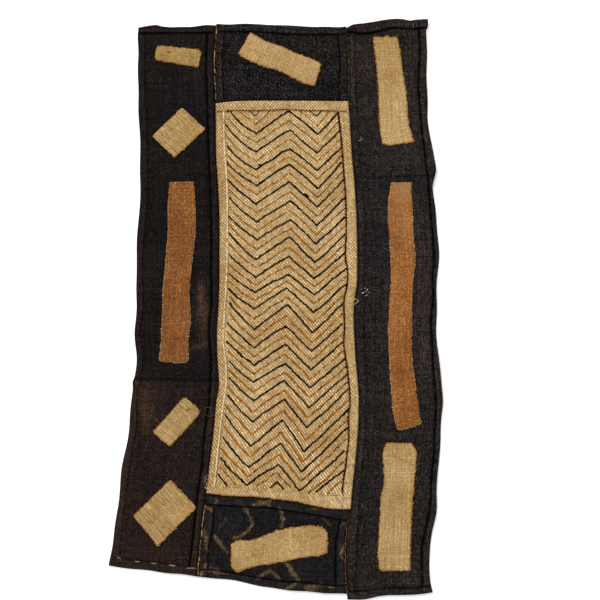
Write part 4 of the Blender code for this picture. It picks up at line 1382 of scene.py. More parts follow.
def layPatch(name, plan, number):
    spot, width, length = patchSpot(plan)
    weave = paleFinishes[plan["weave"]]
    ribbed = weave["kind"] == "ribbed"
    ribsAcross = ribbed and plan["turn"] > 45.0
    stepU = patchMake["ribStep"] if ribsAcross else patchMake["step"]
    stepV = patchMake["ribStep"] if ribbed and not ribsAcross else patchMake["step"]
    columns = max(8, round(width / stepU))
    rows = max(8, round(length / stepV))
    u, v = np.meshgrid(np.linspace(0.0, 1.0, columns + 1), np.linspace(0.0, 1.0, rows + 1))
    edge = np.minimum.reduce([u * width, (1 - u) * width, v * length, (1 - v) * length])
    roundU, roundV = roundCorners(u, v, width, length, plan["round"])
    near = np.exp(-(edge / 3.0) ** 2)
    around = u * width + v * length
    sway = patchMake["edgeWander"] * ripples(around, 0.35 * around, 13.0, 40 + number)
    sway = (sway + patchMake["edgeTeeth"] * ripples(around, 0.2 * around, 4.6, 50 + number)) * near
    outX = np.sign(u - 0.5) * (np.minimum(u, 1 - u) * width <= edge + 0.01)
    outY = np.sign(v - 0.5) * (np.minimum(v, 1 - v) * length <= edge + 0.01)
    shapedU, shapedV = moveSides(roundU, roundV, width, length, plan)
    x, y = spot(shapedU + sway * outX / width, shapedV + sway * outY / length)

    base = underside(x, y) + clothLayers["single"] + clothLayers["laidGap"]
    rim = np.clip(1.0 - edge / patchMake["rimRadius"], 0.0, 1.0)
    fall = 1.0 - np.sqrt(1.0 - rim ** 2)
    pucker = 0.10 * ripples(x, y, 6.5, 60 + number)
    thick = clothLayers["laid"]
    clothU, clothV = (u - 0.5) * width, (v - 0.5) * length
    if ribsAcross:
        clothU, clothV = clothV, clothU
    ribs = 0.0 * x
    if ribbed:
        ribs = patchMake["ribHeight"] * np.cos(2.0 * np.pi * (clothV / weave["along"] - 0.5))
    high = base + thick + 0.15 * easeStep(edge / 5.0) + pucker + ribs - 0.55 * thick * fall
    low = base - 0.25 * easeStep(1.0 - edge / 2.5)
    stainAndFoldShade = np.zeros(x.shape)
    for stainX, stainY, halfX, halfY, strength in patchStains.get(name, ()):
        stainAndFoldShade += strength * np.exp(-(((x - stainX) / halfX) ** 2 + ((y - stainY) / halfY) ** 2))
    # painted shade along folds and creases, added to the real stains
    for startX, startY, endX, endY, halfWidth, strength, rise in patchFolds.get(name, ()):
        distance, share = strokeDistance(x, y, (startX, startY, endX, endY))
        stainAndFoldShade += strength * np.exp(-(distance / halfWidth) ** 2)
        high += rise * np.exp(-(distance / (1.6 * halfWidth)) ** 2)
    values = {"paintedShade": np.zeros(x.shape), "stainAndFoldShade": np.clip(stainAndFoldShade, 0.0, 1.0),
              "soil": np.clip(spotted(x, y, plan.get("greyed", ())), 0.0, 1.0),
              "rim": plan["edge"] * np.exp(-(edge / 0.95) ** 2)}
    piece = sheetFromGrid(name + "_cloth", x, y, low, high, clothU, clothV, values,
                          finishes[plan["weave"]])
    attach(piece, "root")
    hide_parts(name)
    outline = np.concatenate([
        np.stack([x[0, :-1], y[0, :-1]], axis=1), np.stack([x[:-1, -1], y[:-1, -1]], axis=1),
        np.stack([x[-1, :0:-1], y[-1, :0:-1]], axis=1), np.stack([x[:0:-1, 0], y[:0:-1, 0]], axis=1)])
    return piece, outline


patchPieces = {}
patchOutlines = {}
for number, (name, plan) in enumerate(patches.items()):
    patchPieces[name], patchOutlines[name] = layPatch(name, plan, number)
print("laid pieces:", sum(len(piece.data.polygons) for piece in patchPieces.values()), "faces")


# Stitches

stitchShape = {"sides": 5, "half": 0.5, "tipWidth": 0.42, "tipDrop": 0.30}


def modelStitch():
    # one arched stitch along x, 1 long, 1 wide and 1 high, as its points and faces
    deselectAll()
    bpy.ops.mesh.primitive_cylinder_add(vertices=stitchShape["sides"], radius=0.5, depth=0.5,
                                        rotation=(0.0, math.pi / 2, 0.0))
    piece = bpy.context.active_object
    bpy.ops.object.transform_apply(location=False, rotation=True, scale=False)
    bpy.ops.object.mode_set(mode="EDIT")
    for side in (-1.0, 1.0):
        bpy.ops.mesh.select_all(action="DESELECT")
        bpy.ops.object.mode_set(mode="OBJECT")
        for face in piece.data.polygons:
            face.select = face.center.x * side > 0.2 and abs(face.normal.x) > 0.9
        bpy.ops.object.mode_set(mode="EDIT")
        bpy.ops.mesh.extrude_region_move(
            TRANSFORM_OT_translate={"value": (0.25 * side, 0.0, -stitchShape["tipDrop"])})
        tip = stitchShape["tipWidth"]
        bpy.ops.transform.resize(value=(1.0, tip, tip))
    bpy.ops.object.mode_set(mode="OBJECT")
    points = np.array([vertex.co for vertex in piece.data.vertices])
    faces = [list(face.vertices) for face in piece.data.polygons]
    bpy.data.objects.remove(piece, do_unlink=True)
    return points, faces


stitchPoints, stitchFaces = modelStitch()


def sewStitches(name, stitches, material):
    # a joined mesh of copies of the stitch: x, y, z, heading, length, width, height, shade
    stitches = np.array(stitches, float)
    count = len(stitches)
    x, y, z, heading, length, width, height, shade = stitches.T
    local = stitchPoints[None, :, :] * np.stack([length, width, height], axis=1)[:, None, :]
    cosine, sine = np.cos(heading)[:, None], np.sin(heading)[:, None]
    placed = np.empty_like(local)
    placed[:, :, 0] = x[:, None] + local[:, :, 0] * cosine - local[:, :, 1] * sine
    placed[:, :, 1] = y[:, None] + local[:, :, 0] * sine + local[:, :, 1] * cosine
    placed[:, :, 2] = z[:, None] + local[:, :, 2]
    step = len(stitchPoints)
    faces = [[corner + k * step for corner in face] for k in range(count) for face in stitchFaces]
    mesh = bpy.data.meshes.new(name)
    mesh.from_pydata((placed.reshape(-1, 3) * mm).tolist(), [], faces)
    mesh.shade_smooth()
    addPointValue(mesh, "shade", np.repeat(shade, step))
    mesh.materials.append(material)
    piece = bpy.data.objects.new(name, mesh)
    bpy.context.scene.collection.objects.link(piece)
    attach(piece, "root")
    return piece


def walk(points, spacing, closed=False):
    # places and headings at even spacing along a line of x, y points
    points = np.array(points, float)
    if closed:
        points = np.vstack([points, points[:1]])
    steps = np.hypot(*np.diff(points, axis=0).T)
    travelled = np.concatenate([[0.0], np.cumsum(steps)])
    count = max(2, int(round(travelled[-1] / spacing)))
    marks = (np.arange(count) + 0.5) * travelled[-1] / count
    x = np.interp(marks, travelled, points[:, 0])
    y = np.interp(marks, travelled, points[:, 1])
    ahead = np.stack([np.interp(marks + 0.6, travelled, points[:, k]) for k in (0, 1)])
    back = np.stack([np.interp(marks - 0.6, travelled, points[:, k]) for k in (0, 1)])
    return x, y, np.arctan2(ahead[1] - back[1], ahead[0] - back[0])


# Chevron lines of the centre: left end, first valley, peak, second valley, right end, each as x, y
chevrons = (
    (-57.5, 248, -24, 219.5, 16, 248, 52.5, 218.5, 77.5, 246),
    (-63, 231, -25, 196.5, 17, 224, 51, 195.5, 80, 224),
    (-61.5, 204.5, -25, 174.5, 17, 201, 51.5, 174, 81.5, 202),
    (-62, 185, -23.5, 154.5, 16.5, 181.5, 52.5, 151.5, 82, 183.5),
    (-59.5, 162.5, -23.5, 132, 17, 159, 51.5, 128, 85, 162.5),
    (-58, 140, -23.5, 109.5, 18, 135.5, 51, 105, 86.5, 140),
    (-58, 117, -23.5, 87, 18.5, 112.5, 49.5, 82, 86.5, 115.5),
    (-58, 95.5, -24.5, 62, 17, 90, 48.5, 58.5, 87, 94),
    (-58, 69, -24.5, 40, 15.5, 66, 48.5, 38.5, 88, 72.5),
    (-58, 45, -25.5, 21.5, 15, 43.5, 48, 18, 88, 52),
    (-59, 26, -26.5, 0.5, 13.5, 26.5, 47, -4, 88.5, 32),
    (-57, 7, -27, -25, 14, 5.5, 46, -29.5, 87, 11),
    (-60.5, -16.5, -27, -48, 11.5, -20.5, 44.5, -52.5, 83.5, -18),
    (-61, -39.5, -26.5, -70.5, 12, -43.5, 43.5, -75.5, 85.5, -38.5),
    (-58.5, -64.5, -27.5, -91, 11.5, -68, 42.5, -98, 88, -60),
    (-58.5, -85, -27.5, -115, 10.5, -89, 41, -122.5, 90, -79.5),
    (-60.5, -107.5, -29, -140.5, 10.5, -112.5, 38.5, -148, 92.5, -98.5),
    (-64, -131, -31, -171, 9, -138.5, 35, -178, 92, -123.5),
    (-66.5, -159.5, -33.5, -198, 6, -167.5, 32, -203, 90, -147.5),
    (-69.5, -186, -36, -219.5, 3.5, -193.5, 29.5, -227, 86.5, -176.5),
)

# Parts of lines that run into the hems at the top and bottom
chevronEnds = (
    ((-72, -206), (-60.5, -220)),
    ((-7, -222.5), (2, -215), (9.5, -225)),
    ((50.5, -228.5), (85.5, -200.5)),
)
fineEnds = (
    ((-33.3, 249), (-28.3, 244.8), (-26.6, 242.4), (-24.4, 242.4), (-20.4, 248.6)),
    ((41.3, 249), (51.1, 241.6), (57.3, 248.8)),
)
brownEnds = (
    ((-47.8, 248.8), (-25.4, 230.7), (-6.3, 248.6)),
    ((29.3, 249), (51.7, 229.6), (67.4, 247.6)),
    ((64.5, -230), (81, -215)),
    ((-69.5, -197), (-59, -208), (-47.5, -220)),
    ((-25, -221), (0.8, -204.5), (19.5, -224)),
    ((41, -229.5), (63, -212), (85.5, -190)),
)

embroidery = {
    # how far each limb of a chevron hangs below a straight one, at the bottom and top of the cloth
    "sag": ((1.9, 4.2), (-0.9, -0.9), (-0.6, -0.6), (0.8, 0.8)),
    "black": {"spacing": 3.0, "length": 4.4, "width": 2.6, "height": 0.95, "lean": 0.04,
              "wobble": 0.24, "sway": 0.50, "shade": (0.05, 0.07), "varies": 0.12, "fades": 0.30,
              "patchy": 0.16, "side": (0.0, 0.0), "thin": 0.90, "skips": 0.0},
    "blackFine": {"spacing": 2.4, "length": 3.0, "width": 1.7, "height": 0.8, "lean": 0.04,
                  "wobble": 0.15, "sway": 0.0, "shade": (0.2, 0.2), "varies": 0.15, "fades": 0.2,
                  "patchy": 0.10, "side": (0.0, 0.0), "thin": 0.90, "skips": 0.0},
    # the lighter orange row on the upper right of each falling brown limb: the thread's own colour with a
    # painted highlight on its lit side
    "brownDown": {"spacing": 2.7, "length": 3.6, "width": 1.7, "height": 0.85, "lean": 0.0,
                  "wobble": 0.18, "sway": 0.50, "shade": (0.78, 0.26), "varies": 0.18, "fades": 0.10,
                  "patchy": 0.18, "side": (0.65, 0.25), "thin": 0.68, "skips": 0.04},
    # a dark row on the lower left of each falling brown limb, painted as the thread's shadow
    "brownShadowRow": {"spacing": 2.7, "length": 3.6, "width": 1.5, "height": 0.75, "lean": 0.0,
                   "wobble": 0.18, "sway": 0.50, "shade": (0.03, 0.25), "varies": 0.10, "fades": 0.08,
                   "patchy": 0.10, "side": (-0.65, -0.15), "thin": 0.60, "skips": 0.35},
    "brownUp": {"spacing": 2.3, "length": 2.6, "width": 2.3, "height": 0.80, "lean": 0.10,
                "wobble": 0.28, "sway": 0.50, "shade": (0.38, 0.26), "varies": 0.26, "fades": 0.14,
                "patchy": 0.14, "side": (0.0, 0.0), "thin": 0.60, "skips": 0.10},
}


def chevronLimbs(row):
    # the four limbs of a chevron line, the first one sagging as it does on the cloth
    knots = np.array(row, float).reshape(5, 2)
    limbs = []
    for k in range(4):
        share = np.linspace(0.0, 1.0, 12)[:, None]
        limb = blend(knots[k], knots[k + 1], share)
        sag = blend(*embroidery["sag"][k], np.clip((knots[0, 1] + 60.0) / 300.0, 0.0, 1.0))
        limb[:, 1] -= sag * 4.6 * share[:, 0] * (1.0 - share[:, 0]) ** 1.4
        limbs.append(limb)
    return limbs


def embroider(lines, look, seed):
    # rows of stitches; shade runs from the bottom of the cloth to the top
    draw = np.random.default_rng(seed)
    stitches = []
    for number, line in enumerate(lines):
        x, y, heading = walk(line, look["spacing"])
        height = np.clip((y + 230) / 480, 0, 1)
        kept = draw.random(len(x)) >= look["skips"] * height
        x, y, heading, height = x[kept], y[kept], heading[kept], height[kept]
        fade = draw.random() ** 2 * look["fades"] + blend(*look["shade"], height)
        drift = look["sway"] * ripples(x, 0.0 * y, 24.0, 5 + 7 * number)
        patchy = look["patchy"] * ripples(x, y, 30.0, seed + 11 * number)
        side = blend(*look["side"], height) + drift + draw.normal(0.0, look["wobble"], len(x))
        x, y = x - side * np.sin(heading), y + side * np.cos(heading)
        top = underside(x, y) + clothLayers["single"] + 0.22
        stitches.append(np.stack([
            x, y, top, heading - look["lean"] + draw.normal(0.0, 0.06, len(x)),
            look["length"] * draw.uniform(0.9, 1.1, len(x)),
            look["width"] * blend(1.0, look["thin"], height) * draw.uniform(0.8, 1.2, len(x)),
            np.full(len(x), look["height"]),
            np.clip(fade + patchy + draw.normal(0.0, look["varies"], len(x)), 0.0, 1.0)], axis=1))
    return np.vstack(stitches)


def midRow(first, second):
    return tuple(0.5 * (a + b) for a, b in zip(first, second))


blackLines = [limb for row in chevrons for limb in chevronLimbs(row)]
blackLines += [np.array(line, float) for line in chevronEnds]
brownRows = [midRow(chevrons[k], chevrons[k + 1]) for k in range(len(chevrons) - 1)]
brownRows.append(tuple(value - (12.0 if k % 2 else 0.0) for k, value in enumerate(chevrons[-1])))
brownLimbs = [chevronLimbs(row) for row in brownRows[:-1]]
brownDown = [limbs[k] for limbs in brownLimbs for k in (0, 2)]
brownUp = [limbs[k] for limbs in brownLimbs for k in (1, 3)]
brownUp += [np.array(line, float) for line in brownEnds]
blackFine = [np.array(line, float) for line in fineEnds]
blackRowsSewn = np.vstack([embroider(blackLines, embroidery["black"], 5),
                           embroider(blackFine, embroidery["blackFine"], 9)])
blackStitches = sewStitches("centre_black_embroidery", blackRowsSewn, finishes["blackThread"])
# falling brown limbs: a dark row painted as the thread's shadow, then the lighter row painted as its lit side
brownRowsSewn = np.vstack([
    embroider(brownDown, embroidery["brownShadowRow"], 6), embroider(brownDown, embroidery["brownDown"], 7),
    embroider(brownUp, embroidery["brownUp"], 8)])
brownStitches = sewStitches("centre_brown_embroidery", brownRowsSewn, finishes["brownThread"])
print("embroidery sewn:", len(blackStitches.data.polygons) + len(brownStitches.data.polygons), "faces")


# Hem stitching of the centre

lineStep = 4.0    # between the points of a line to be sewn


def curveDown(table, top, bottom):
    y = np.arange(top, bottom, -lineStep)
    return np.stack([readCurve(table, y), y], axis=1)


def curveAcross(table, left, right):
    x = np.arange(left, right, lineStep)
    return np.stack([x, readCurve(table, x)], axis=1)


def sewLine(line, look, lift, seed, closed=False):
    # stitches along a line; shift moves them to its left and skip leaves some out
    draw = np.random.default_rng(seed)
    x, y, heading = walk(line, look["spacing"], closed)
    kept = draw.random(len(x)) >= look.get("skip", 0.0)
    x, y, heading = x[kept], y[kept], heading[kept]
    count = len(x)
    side = draw.normal(look.get("shift", 0.0), look.get("wobble", 0.15), count)
    x, y = x - side * np.sin(heading), y + side * np.cos(heading)
    lean = draw.normal(look.get("lean", 0.0), look.get("leanVaries", 0.07), count)
    return np.stack([
        x, y, underside(x, y) + lift, heading + lean, look["length"] * draw.uniform(0.8, 1.2, count),
        look["width"] * draw.uniform(0.75, 1.25, count), np.full(count, look["height"]),
        np.clip(draw.normal(look["shade"], look.get("shadeVaries", 0.22), count), 0.0, 1.0)], axis=1)


onSingle = clothLayers["single"] + 0.25
onTurned = clothLayers["turned"] + 0.15
centreHemSewing = {
    "right": {"spacing": 3.0, "length": 3.4, "width": 3.0, "height": 1.2, "shade": 0.16, "lean": -0.2,
              "shift": -0.9, "wobble": 0.25},
    "bottomRight": {"spacing": 2.8, "length": 2.4, "width": 0.8, "height": 0.6, "shade": 0.95,
                    "shift": 0.5, "skip": 0.35},
    "left": {"spacing": 2.6, "length": 3.0, "width": 2.2, "height": 0.9, "shade": 0.95,
             "shadeVaries": 0.25, "shift": -0.2, "skip": 0.04},
    "top": {"spacing": 2.6, "length": 3.0, "width": 1.3, "height": 0.8, "shade": 0.75,
            "shadeVaries": 0.3, "shift": -0.5},
    "bottomLeft": {"spacing": 3.6, "length": 1.8, "width": 0.8, "height": 0.6, "shade": 0.95,
                   "shift": 0.5, "skip": 0.5},
    "edge": {"spacing": 2.6, "length": 3.0, "width": 1.2, "height": 0.8, "shade": 0.45,
             "shadeVaries": 0.3, "shift": 0.7, "lean": 0.15, "skip": 0.06},
}
hemStitches = np.vstack([
    sewLine(curveDown(hemLines["centreRight"], 247, -233), centreHemSewing["right"], onSingle + 0.2, 71),
    sewLine(curveAcross(hemLines["centreBottom"], 30, 84), centreHemSewing["bottomRight"], onSingle, 72)])
centreHemStitches = sewStitches("centre_hem_stitching", hemStitches, finishes["hemThread"])
paleRidge = sewLine(curveDown(hemLines["centreLeft"], 247, -222), centreHemSewing["left"], onTurned, 73)
bottomRope = sewLine(curveAcross(crossEdges["centreBottom"], -84, 94), centreHemSewing["edge"],
                     onTurned, 78)
centreBottomRope = sewStitches("centre_bottom_edge_thread", bottomRope, finishes["edgeThread"])
centrePaleRidge = sewStitches("centre_hem_pale_thread", paleRidge, finishes["paleThread"])
topLine = ((-75, 247.7), (-63, 247.8), (-56, 248.8), (-45, 249.3), (-25, 249.2), (-4, 249.7),
           (14, 250.6), (32, 249.4), (57, 249.0), (79, 248.3), (92, 247.2))
faintStitches = np.vstack([
    sewLine(curveAcross(topLine, -64, 80), centreHemSewing["top"], onTurned - 0.2, 74),
    sewLine(curveAcross(topLine, -74, -62), centreHemSewing["top"], onTurned + 0.45, 76),
    sewLine(curveAcross(topLine, 80, 92), centreHemSewing["top"], onTurned + 0.45, 77),
    sewLine(curveAcross(hemLines["centreBottom"], -75, 30), centreHemSewing["bottomLeft"], onSingle, 75)])
centreFaintStitches = sewStitches("centre_hem_fine_stitching", faintStitches,
                                  finishes["edgeShadow"])


# Stitching round the laid pieces

patchSewing = {
    "tan": {"thread": "edgeThread", "shadow": "edgeShadow", "slot": "brown_raffia", "spacing": 2.5,
            "length": 2.8, "width": 1.2, "height": 0.8, "shade": 0.52, "shadeVaries": 0.36,
            "lean": -0.1, "wobble": 0.3, "skip": 0.22},
    "brown": {"thread": "paleThread", "shadow": "paleThread", "slot": "tan_raffia", "spacing": 3.4,
              "length": 4.2, "width": 0.7, "height": 0.7, "shade": 0.15, "shadeVaries": 0.2,
              "lean": -0.1, "wobble": 0.25, "skip": 0.12},
}
tickSewing = {"spacing": 3.8, "length": 2.3, "width": 0.8, "height": 0.7, "shade": 0.25,
              "shadeVaries": 0.25, "lean": 0.5 * math.pi + 0.35, "leanVaries": 0.35, "shift": 0.6,
              "wobble": 0.25, "skip": 0.45}

edgeLift = clothLayers["single"] + clothLayers["laidGap"] + 0.55
patchStitches = {}
for number, (name, plan) in enumerate(patches.items()):
    sewing = dict(patchSewing["brown" if "rown" in plan["weave"] else "tan"])
    sewing["width"] *= 0.45 + 0.55 * plan["edge"]
    rows = sewLine(patchOutlines[name], sewing, edgeLift, 80 + number, closed=True)
    patchStitches[name] = [sewStitches(name + "_edge_thread", rows, finishes[sewing["thread"]])]
    ticks = sewLine(patchOutlines[name], tickSewing, edgeLift + 0.35, 100 + number, closed=True)
    patchStitches[name].append(sewStitches(name + "_overcast", ticks, finishes[sewing["shadow"]]))
print("laid pieces sewn down")


# Threads along the seams

def seamLine(edge, top, bottom, side, sway, seed):
    y = np.arange(top, bottom, -2.0)
    x = longEdge(edge, y) + side + sway * ripples(y, 0.0 * y, 17.0, seed)
    return np.stack([x, y], axis=1)


# edge, from y, to y, how far to its right, sway
seamThreads = {
    "seam_tan_thread": {
        "runs": (("leftSeam", 353, 262, 0.6, 0.5), ("leftSeam", -245, -333, 0.6, 0.4)),
        "finish": "seamThread", "slot": "tan_raffia",
        "look": {"spacing": 2.9, "length": 4.0, "width": 1.25, "height": 0.8, "shade": 0.50,
                 "shadeVaries": 0.34, "lean": 0.18, "leanVaries": 0.12, "wobble": 0.25, "skip": 0.06}},
    "seam_faint_thread": {
        "runs": (("rightSeam", 340, 264, 0.6, 0.4),),
        "finish": "seamThread", "slot": "tan_raffia",
        "look": {"spacing": 3.6, "length": 4.0, "width": 0.55, "height": 0.5, "shade": 0.15,
                 "shadeVaries": 0.15, "lean": 0.05, "wobble": 0.15, "skip": 0.1}},
    "seam_rust_thread": {
        "runs": (("rightSeam", -252, -356, -0.4, 0.5),),
        "finish": "rustThread", "slot": "brown_raffia",
        "look": {"spacing": 2.7, "length": 3.3, "width": 0.9, "height": 0.7, "shade": 0.4,
                 "shadeVaries": 0.32, "lean": 0.3, "leanVaries": 0.15, "wobble": 0.25, "skip": 0.1}},
}
seamPieces = {}
for number, (name, seam) in enumerate(seamThreads.items()):
    rows = [sewLine(seamLine(*run, 120 + 10 * number + k), seam["look"], onTurned, 130 + 10 * number + k)
            for k, run in enumerate(seam["runs"])]
    seamPieces[name] = sewStitches(name, np.vstack(rows), finishes[seam["finish"]])
print("seams sewn")


# Stitch lines and loose threads on the border

def asLine(points):
    # a smooth line through x, y points
    points = np.array(points, float)
    marks = np.arange(len(points))
    fine = np.linspace(0.0, len(points) - 1.0, 8 * (len(points) - 1) + 1)
    return np.stack([readCurve(list(zip(marks, points[:, k])), fine) for k in (0, 1)], axis=1)


borderStitchLines = {
    "panel_left_upper": (
        (curveDown(hemLines["leftStripOuter"], 340, -84),
         {"spacing": 4.4, "length": 2.8, "width": 0.7, "height": 0.5, "shade": 0.95, "shift": -0.4,
          "skip": 0.3}),
    ),
    "panel_left_lower": (
        (curveDown(hemLines["leftStripOuter"], -92, -305),
         {"spacing": 4.4, "length": 2.8, "width": 0.7, "height": 0.5, "shade": 0.95, "shift": -0.4,
          "skip": 0.3}),
        (((-146.8, -90), (-147, -116), (-148.4, -134), (-150.3, -168), (-150.5, -214)),
         {"spacing": 3.4, "length": 4.0, "width": 0.45, "height": 0.35, "shade": 0.45, "skip": 0.2}),
    ),
    "panel_right_lower": (
        (curveDown(hemLines["rightStripInner"], 152, -236),
         {"spacing": 4.6, "length": 2.6, "width": 0.7, "height": 0.5, "shade": 0.95, "skip": 0.35}),
    ),
    "panel_right_upper": (
        (((98.5, 335), (99, 300), (99.5, 262), (101, 236), (102.5, 208)),
         {"spacing": 4.4, "length": 3.0, "width": 0.6, "height": 0.5, "shade": 0.9, "skip": 0.2}),
    ),
}
borderSewing = {}
for name, lines in borderStitchLines.items():
    rows = [sewLine(line, look, onSingle + 0.05, 160 + k) for k, (line, look) in enumerate(lines)]
    borderSewing[name] = [sewStitches(name + "_fine_stitching", np.vstack(rows),
                                      finishes["darkThread"])]

# Loose threads: the sheet, the thread, width, height over the sheet, and x, y points
looseThreads = (
    ("panel_centre", "paleThread", 0.6, 1.4,
     ((97.4, 12.4), (99.8, 12.9), (102.3, 11.8), (102.6, 10.2), (100.8, 8.2), (98.0, 6.2))),
    ("panel_centre", "paleThread", 0.4, 0.9, ((-84.7, -207), (-87.5, -209), (-89.6, -212))),
    ("panel_centre", "paleThread", 0.4, 0.9, ((-85.2, -211), (-88, -214), (-90, -217.4))),
    ("panel_centre", "paleThread", 0.4, 0.9, ((-85.6, -216), (-87, -219), (-86.2, -222.6))),
    ("panel_centre", "paleThread", 0.7, 0.9, ((-84.8, -223), (-87.2, -223.6), (-88.6, -222))),
    ("panel_centre", "paleThread", 0.7, 0.9, ((76, -174), (79.5, -176.4), (82.5, -174.4), (86, -172))),
    ("panel_centre", "paleThread", 0.7, 0.9, ((80, -171.5), (84.2, -174.5), (87.4, -176.4))),
    ("panel_centre", "edgeThread", 0.6, 0.9, ((92.0, 257.4), (93.6, 256.6), (94.2, 255.2))),
    ("panel_centre", "brownThread", 0.9, 0.4, ((62.8, 24.3), (66.2, 23.6), (66.6, 20.4), (63.2, 19.8))),
    ("panel_left_upper", "darkThread", 0.35, 0.4,
     ((-93.1, 312.3), (-89.8, 311.3), (-85.7, 309), (-83.4, 306.8))),
    ("panel_top", "seamThread", 0.7, 0.4, ((-73.6, 309), (-70.8, 311.3), (-68.4, 311.5))),
    ("panel_left_lower", "edgeShadow", 0.4, 1.3,
     ((-88.6, -124), (-86.2, -122.2), (-80, -123), (-77.2, -127.5), (-79.4, -132.6), (-84.6, -133.6),
      (-88.4, -129.6), (-88.4, -124.6))),
    ("panel_right_upper", "paleThread", 0.45, 0.5, ((103.6, 211.2), (106.4, 211.6), (107.4, 213.8),
                                                    (105.8, 215.2))),
    ("panel_right_lower", "rustThread", 0.7, 0.5, ((106.6, -243), (108.8, -244.6), (107.4, -246.4),
                                                   (109, -248))),
    ("panel_right_upper", "darkThread", 0.5, 0.3, ((99.5, 255), (106, 252.6), (113, 249.6))),
    ("panel_right_upper", "darkThread", 0.5, 0.3, ((108.4, 252), (111.8, 247), (115.6, 243.6))),
    ("panel_right_upper", "darkThread", 0.5, 0.3, ((116, 252.6), (118.8, 248), (121, 244.4))),
    ("panel_right_upper", "seamThread", 0.6, 1.2, ((151.6, 343.6), (152, 341.4))),
    ("panel_right_upper", "seamThread", 0.6, 1.2, ((171.4, 357), (171.8, 353), (171.4, 351.6))),
    ("panel_top", "darkThread", 0.5, 0.5, ((-42, 272), (-36, 268), (-30, 271), (-27, 267))),
    ("panel_top", "darkThread", 0.5, 0.5, ((64, 269), (68, 265.5), (73, 267), (76, 264.6))),
)
looseLook = {"spacing": 1.0, "length": 1.6, "height": 0.6, "shade": 0.7, "wobble": 0.04}
looseRows = {}
for number, (sheetName, thread, width, rise, points) in enumerate(looseThreads):
    rows = sewLine(asLine(points), {**looseLook, "width": width}, onSingle + rise, 200 + number)
    looseRows.setdefault((sheetName, thread), []).append(rows)

# Knots, crumbs and long stitches: the sheet, the thread, x, y, heading, length, width, shade
singleStitches = (
    ("panel_centre", "blackThread", 37.4, 142.8, -0.5, 6.2, 3.4, 0.0),
    ("panel_centre", "blackThread", 39.4, 141.2, 0.2, 5.0, 3.0, 0.05),
    ("panel_centre", "blackThread", 24.4, 153.2, -0.6, 3.6, 2.4, 0.0),
    ("panel_centre", "blackThread", -56.6, 7.4, 0.4, 3.2, 2.6, 0.0),
    ("panel_centre", "blackThread", -20.3, 180.5, 0.3, 3.2, 2.6, 0.0),
    ("panel_centre", "blackThread", -8.0, -178.0, 1.3, 2.2, 1.6, 0.2),
    ("panel_centre", "blackThread", -59.0, 248.6, 0.1, 5.0, 1.9, 0.1),
    ("panel_left_lower", "seamThread", -195.9, -310.8, -0.25, 5.4, 1.1, 0.7),
    ("panel_left_lower", "seamThread", -172.8, -315.3, -0.12, 6.6, 1.1, 0.9),
    ("panel_left_lower", "seamThread", -152.2, -317.6, -0.10, 7.8, 1.1, 0.8),
    ("panel_left_lower", "seamThread", -129.0, -320.1, -0.16, 9.2, 1.2, 1.0),
    ("panel_left_lower", "seamThread", -105.3, -323.3, -0.04, 12.0, 1.1, 0.9),
    ("panel_left_lower", "seamThread", -149.0, -138.5, 0.5, 1.6, 1.0, 0.8),
    ("panel_left_lower", "seamThread", -146.5, -141.5, -0.3, 1.4, 0.9, 0.7),
    ("panel_right_lower", "lintThread", 108.4, 20.5, 0.3, 3.4, 2.8, 1.0),
    ("panel_right_lower", "lintThread", 113.2, 17.4, 0.5, 4.9, 1.0, 0.25),
    ("panel_right_lower", "lintThread", 106.4, 24.8, -0.4, 1.5, 1.2, 0.6),
    ("panel_right_lower", "lintThread", 112.8, 22.6, 0.1, 1.6, 1.2, 0.45),
    ("panel_right_lower", "lintThread", 114.6, 24.8, 0.9, 1.8, 1.2, 0.7),
    ("panel_right_lower", "lintThread", 116.8, 21.4, -0.5, 1.4, 1.1, 0.5),
    ("panel_right_lower", "lintThread", 111.4, 26.4, 0.2, 1.3, 1.1, 0.5),
    ("panel_right_lower", "lintThread", 107.2, 14.8, 0.8, 1.2, 0.9, 0.4),
    ("panel_left_upper", "lintThread", -76.6, 31.8, 0.6, 1.6, 1.2, 0.4),
)
for number, (sheetName, thread, x, y, heading, length, width, shade) in enumerate(singleStitches):
    row = [x, y, underside(x, y) + onSingle + (0.35 if length < 5.0 else 0.75), heading, length, width,
           0.8, shade]
    looseRows.setdefault((sheetName, thread), []).append(np.array([row]))
for (sheetName, thread), rows in looseRows.items():
    piece = sewStitches(sheetName + "_loose_" + thread, np.vstack(rows), finishes[thread])
    borderSewing.setdefault(sheetName, []).append(piece)
print("loose threads laid")


# Which sheet each piece of sewing goes with

extras = {name: list(pieces) for name, pieces in borderSewing.items()}
extras["panel_centre"] += [blackStitches, brownStitches, centreHemStitches, centreFaintStitches,
                           centrePaleRidge, centreBottomRope]
extras["panel_top"] += [seamPieces["seam_tan_thread"], seamPieces["seam_faint_thread"]]
extras["panel_bottom"] = [seamPieces["seam_rust_thread"]]


# Floor, light and camera

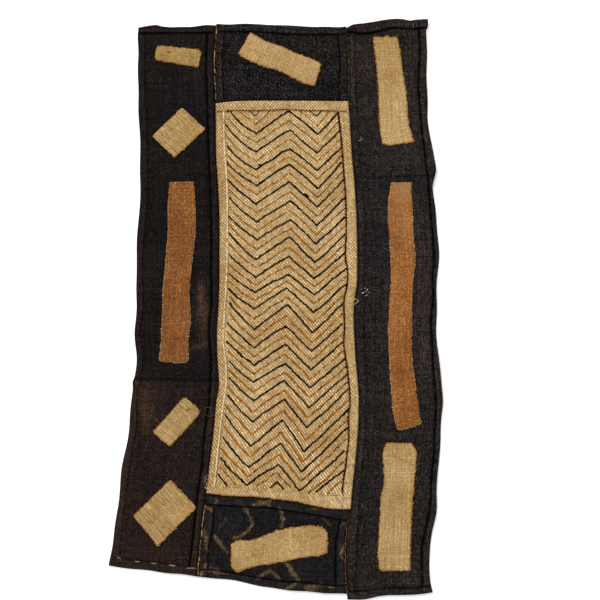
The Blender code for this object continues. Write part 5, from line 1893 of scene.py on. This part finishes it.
studio = {
    "floorSize": 12.0,                # metres
    "floorDrop": 0.0004,              # metres under the cloth
    "floorColour": (0.99, 0.99, 0.99, 1.0),
    "floorGlow": 0.25,
    "worldLight": 0.62,
    "lampPlace": (-2.4, 3.6, 3.6),    # metres
    "lampSize": 3.0,
    "lampPower": 290.0,
    "lens": 85.0,
    "aimPixel": (300.0, 300.0),       # middle of the photograph
    "clothPixel": (275.75, 309.4),    # where the middle of the cloth shows in it
    "pixelSize": 1.25,                # millimetres of cloth in one pixel
    "photoSide": 600.0,
}

deselectAll()
bpy.ops.mesh.primitive_plane_add(size=studio["floorSize"], location=(0.0, 0.0, -studio["floorDrop"]))
floor = bpy.context.active_object
floor.name = "floor"
floorMaterial, floorTree, floorShader = startFinish("pale floor", {"rough": 0.9, "sheen": 0.1})
floorShader.inputs["Base Color"].default_value = studio["floorColour"]
# the floor's glow is painted light: it lifts the cloth's shadow on the floor to white
floorShader.inputs["Emission Color"].default_value = studio["floorColour"]
floorShader.inputs["Emission Strength"].default_value = studio["floorGlow"]
floor.data.materials.append(floorMaterial)

world = bpy.data.worlds.new("studio")
world.use_nodes = True
background = world.node_tree.nodes["Background"]
background.inputs["Color"].default_value = (1.0, 1.0, 1.0, 1.0)
background.inputs["Strength"].default_value = studio["worldLight"]
bpy.context.scene.world = world

bpy.ops.object.light_add(type="AREA", location=studio["lampPlace"])
lamp = bpy.context.active_object
lamp.name = "softbox"
lamp.data.size = studio["lampSize"]
lamp.data.energy = studio["lampPower"]
lampX, lampY, lampZ = studio["lampPlace"]
lamp.rotation_euler = (math.atan2(math.hypot(lampX, lampY), lampZ), 0.0, math.atan2(lampX, -lampY))

aimX = (studio["aimPixel"][0] - studio["clothPixel"][0]) * studio["pixelSize"] * mm
aimY = (studio["clothPixel"][1] - studio["aimPixel"][1]) * studio["pixelSize"] * mm
sensor = 36.0
frameWidth = studio["photoSide"] * studio["pixelSize"] * mm
distance = frameWidth * studio["lens"] / sensor
cameraData = bpy.data.cameras.new("camera")
cameraData.lens = studio["lens"]
cameraData.sensor_width = sensor
camera = bpy.data.objects.new("camera", cameraData)
bpy.context.scene.collection.objects.link(camera)
camera.location = (aimX, aimY, distance + clothLayers["turned"] * mm)
camera.rotation_euler = (0.0, 0.0, 0.0)
bpy.context.scene.camera = camera
bpy.context.scene.view_settings.view_transform = "Standard"
print("studio ready")
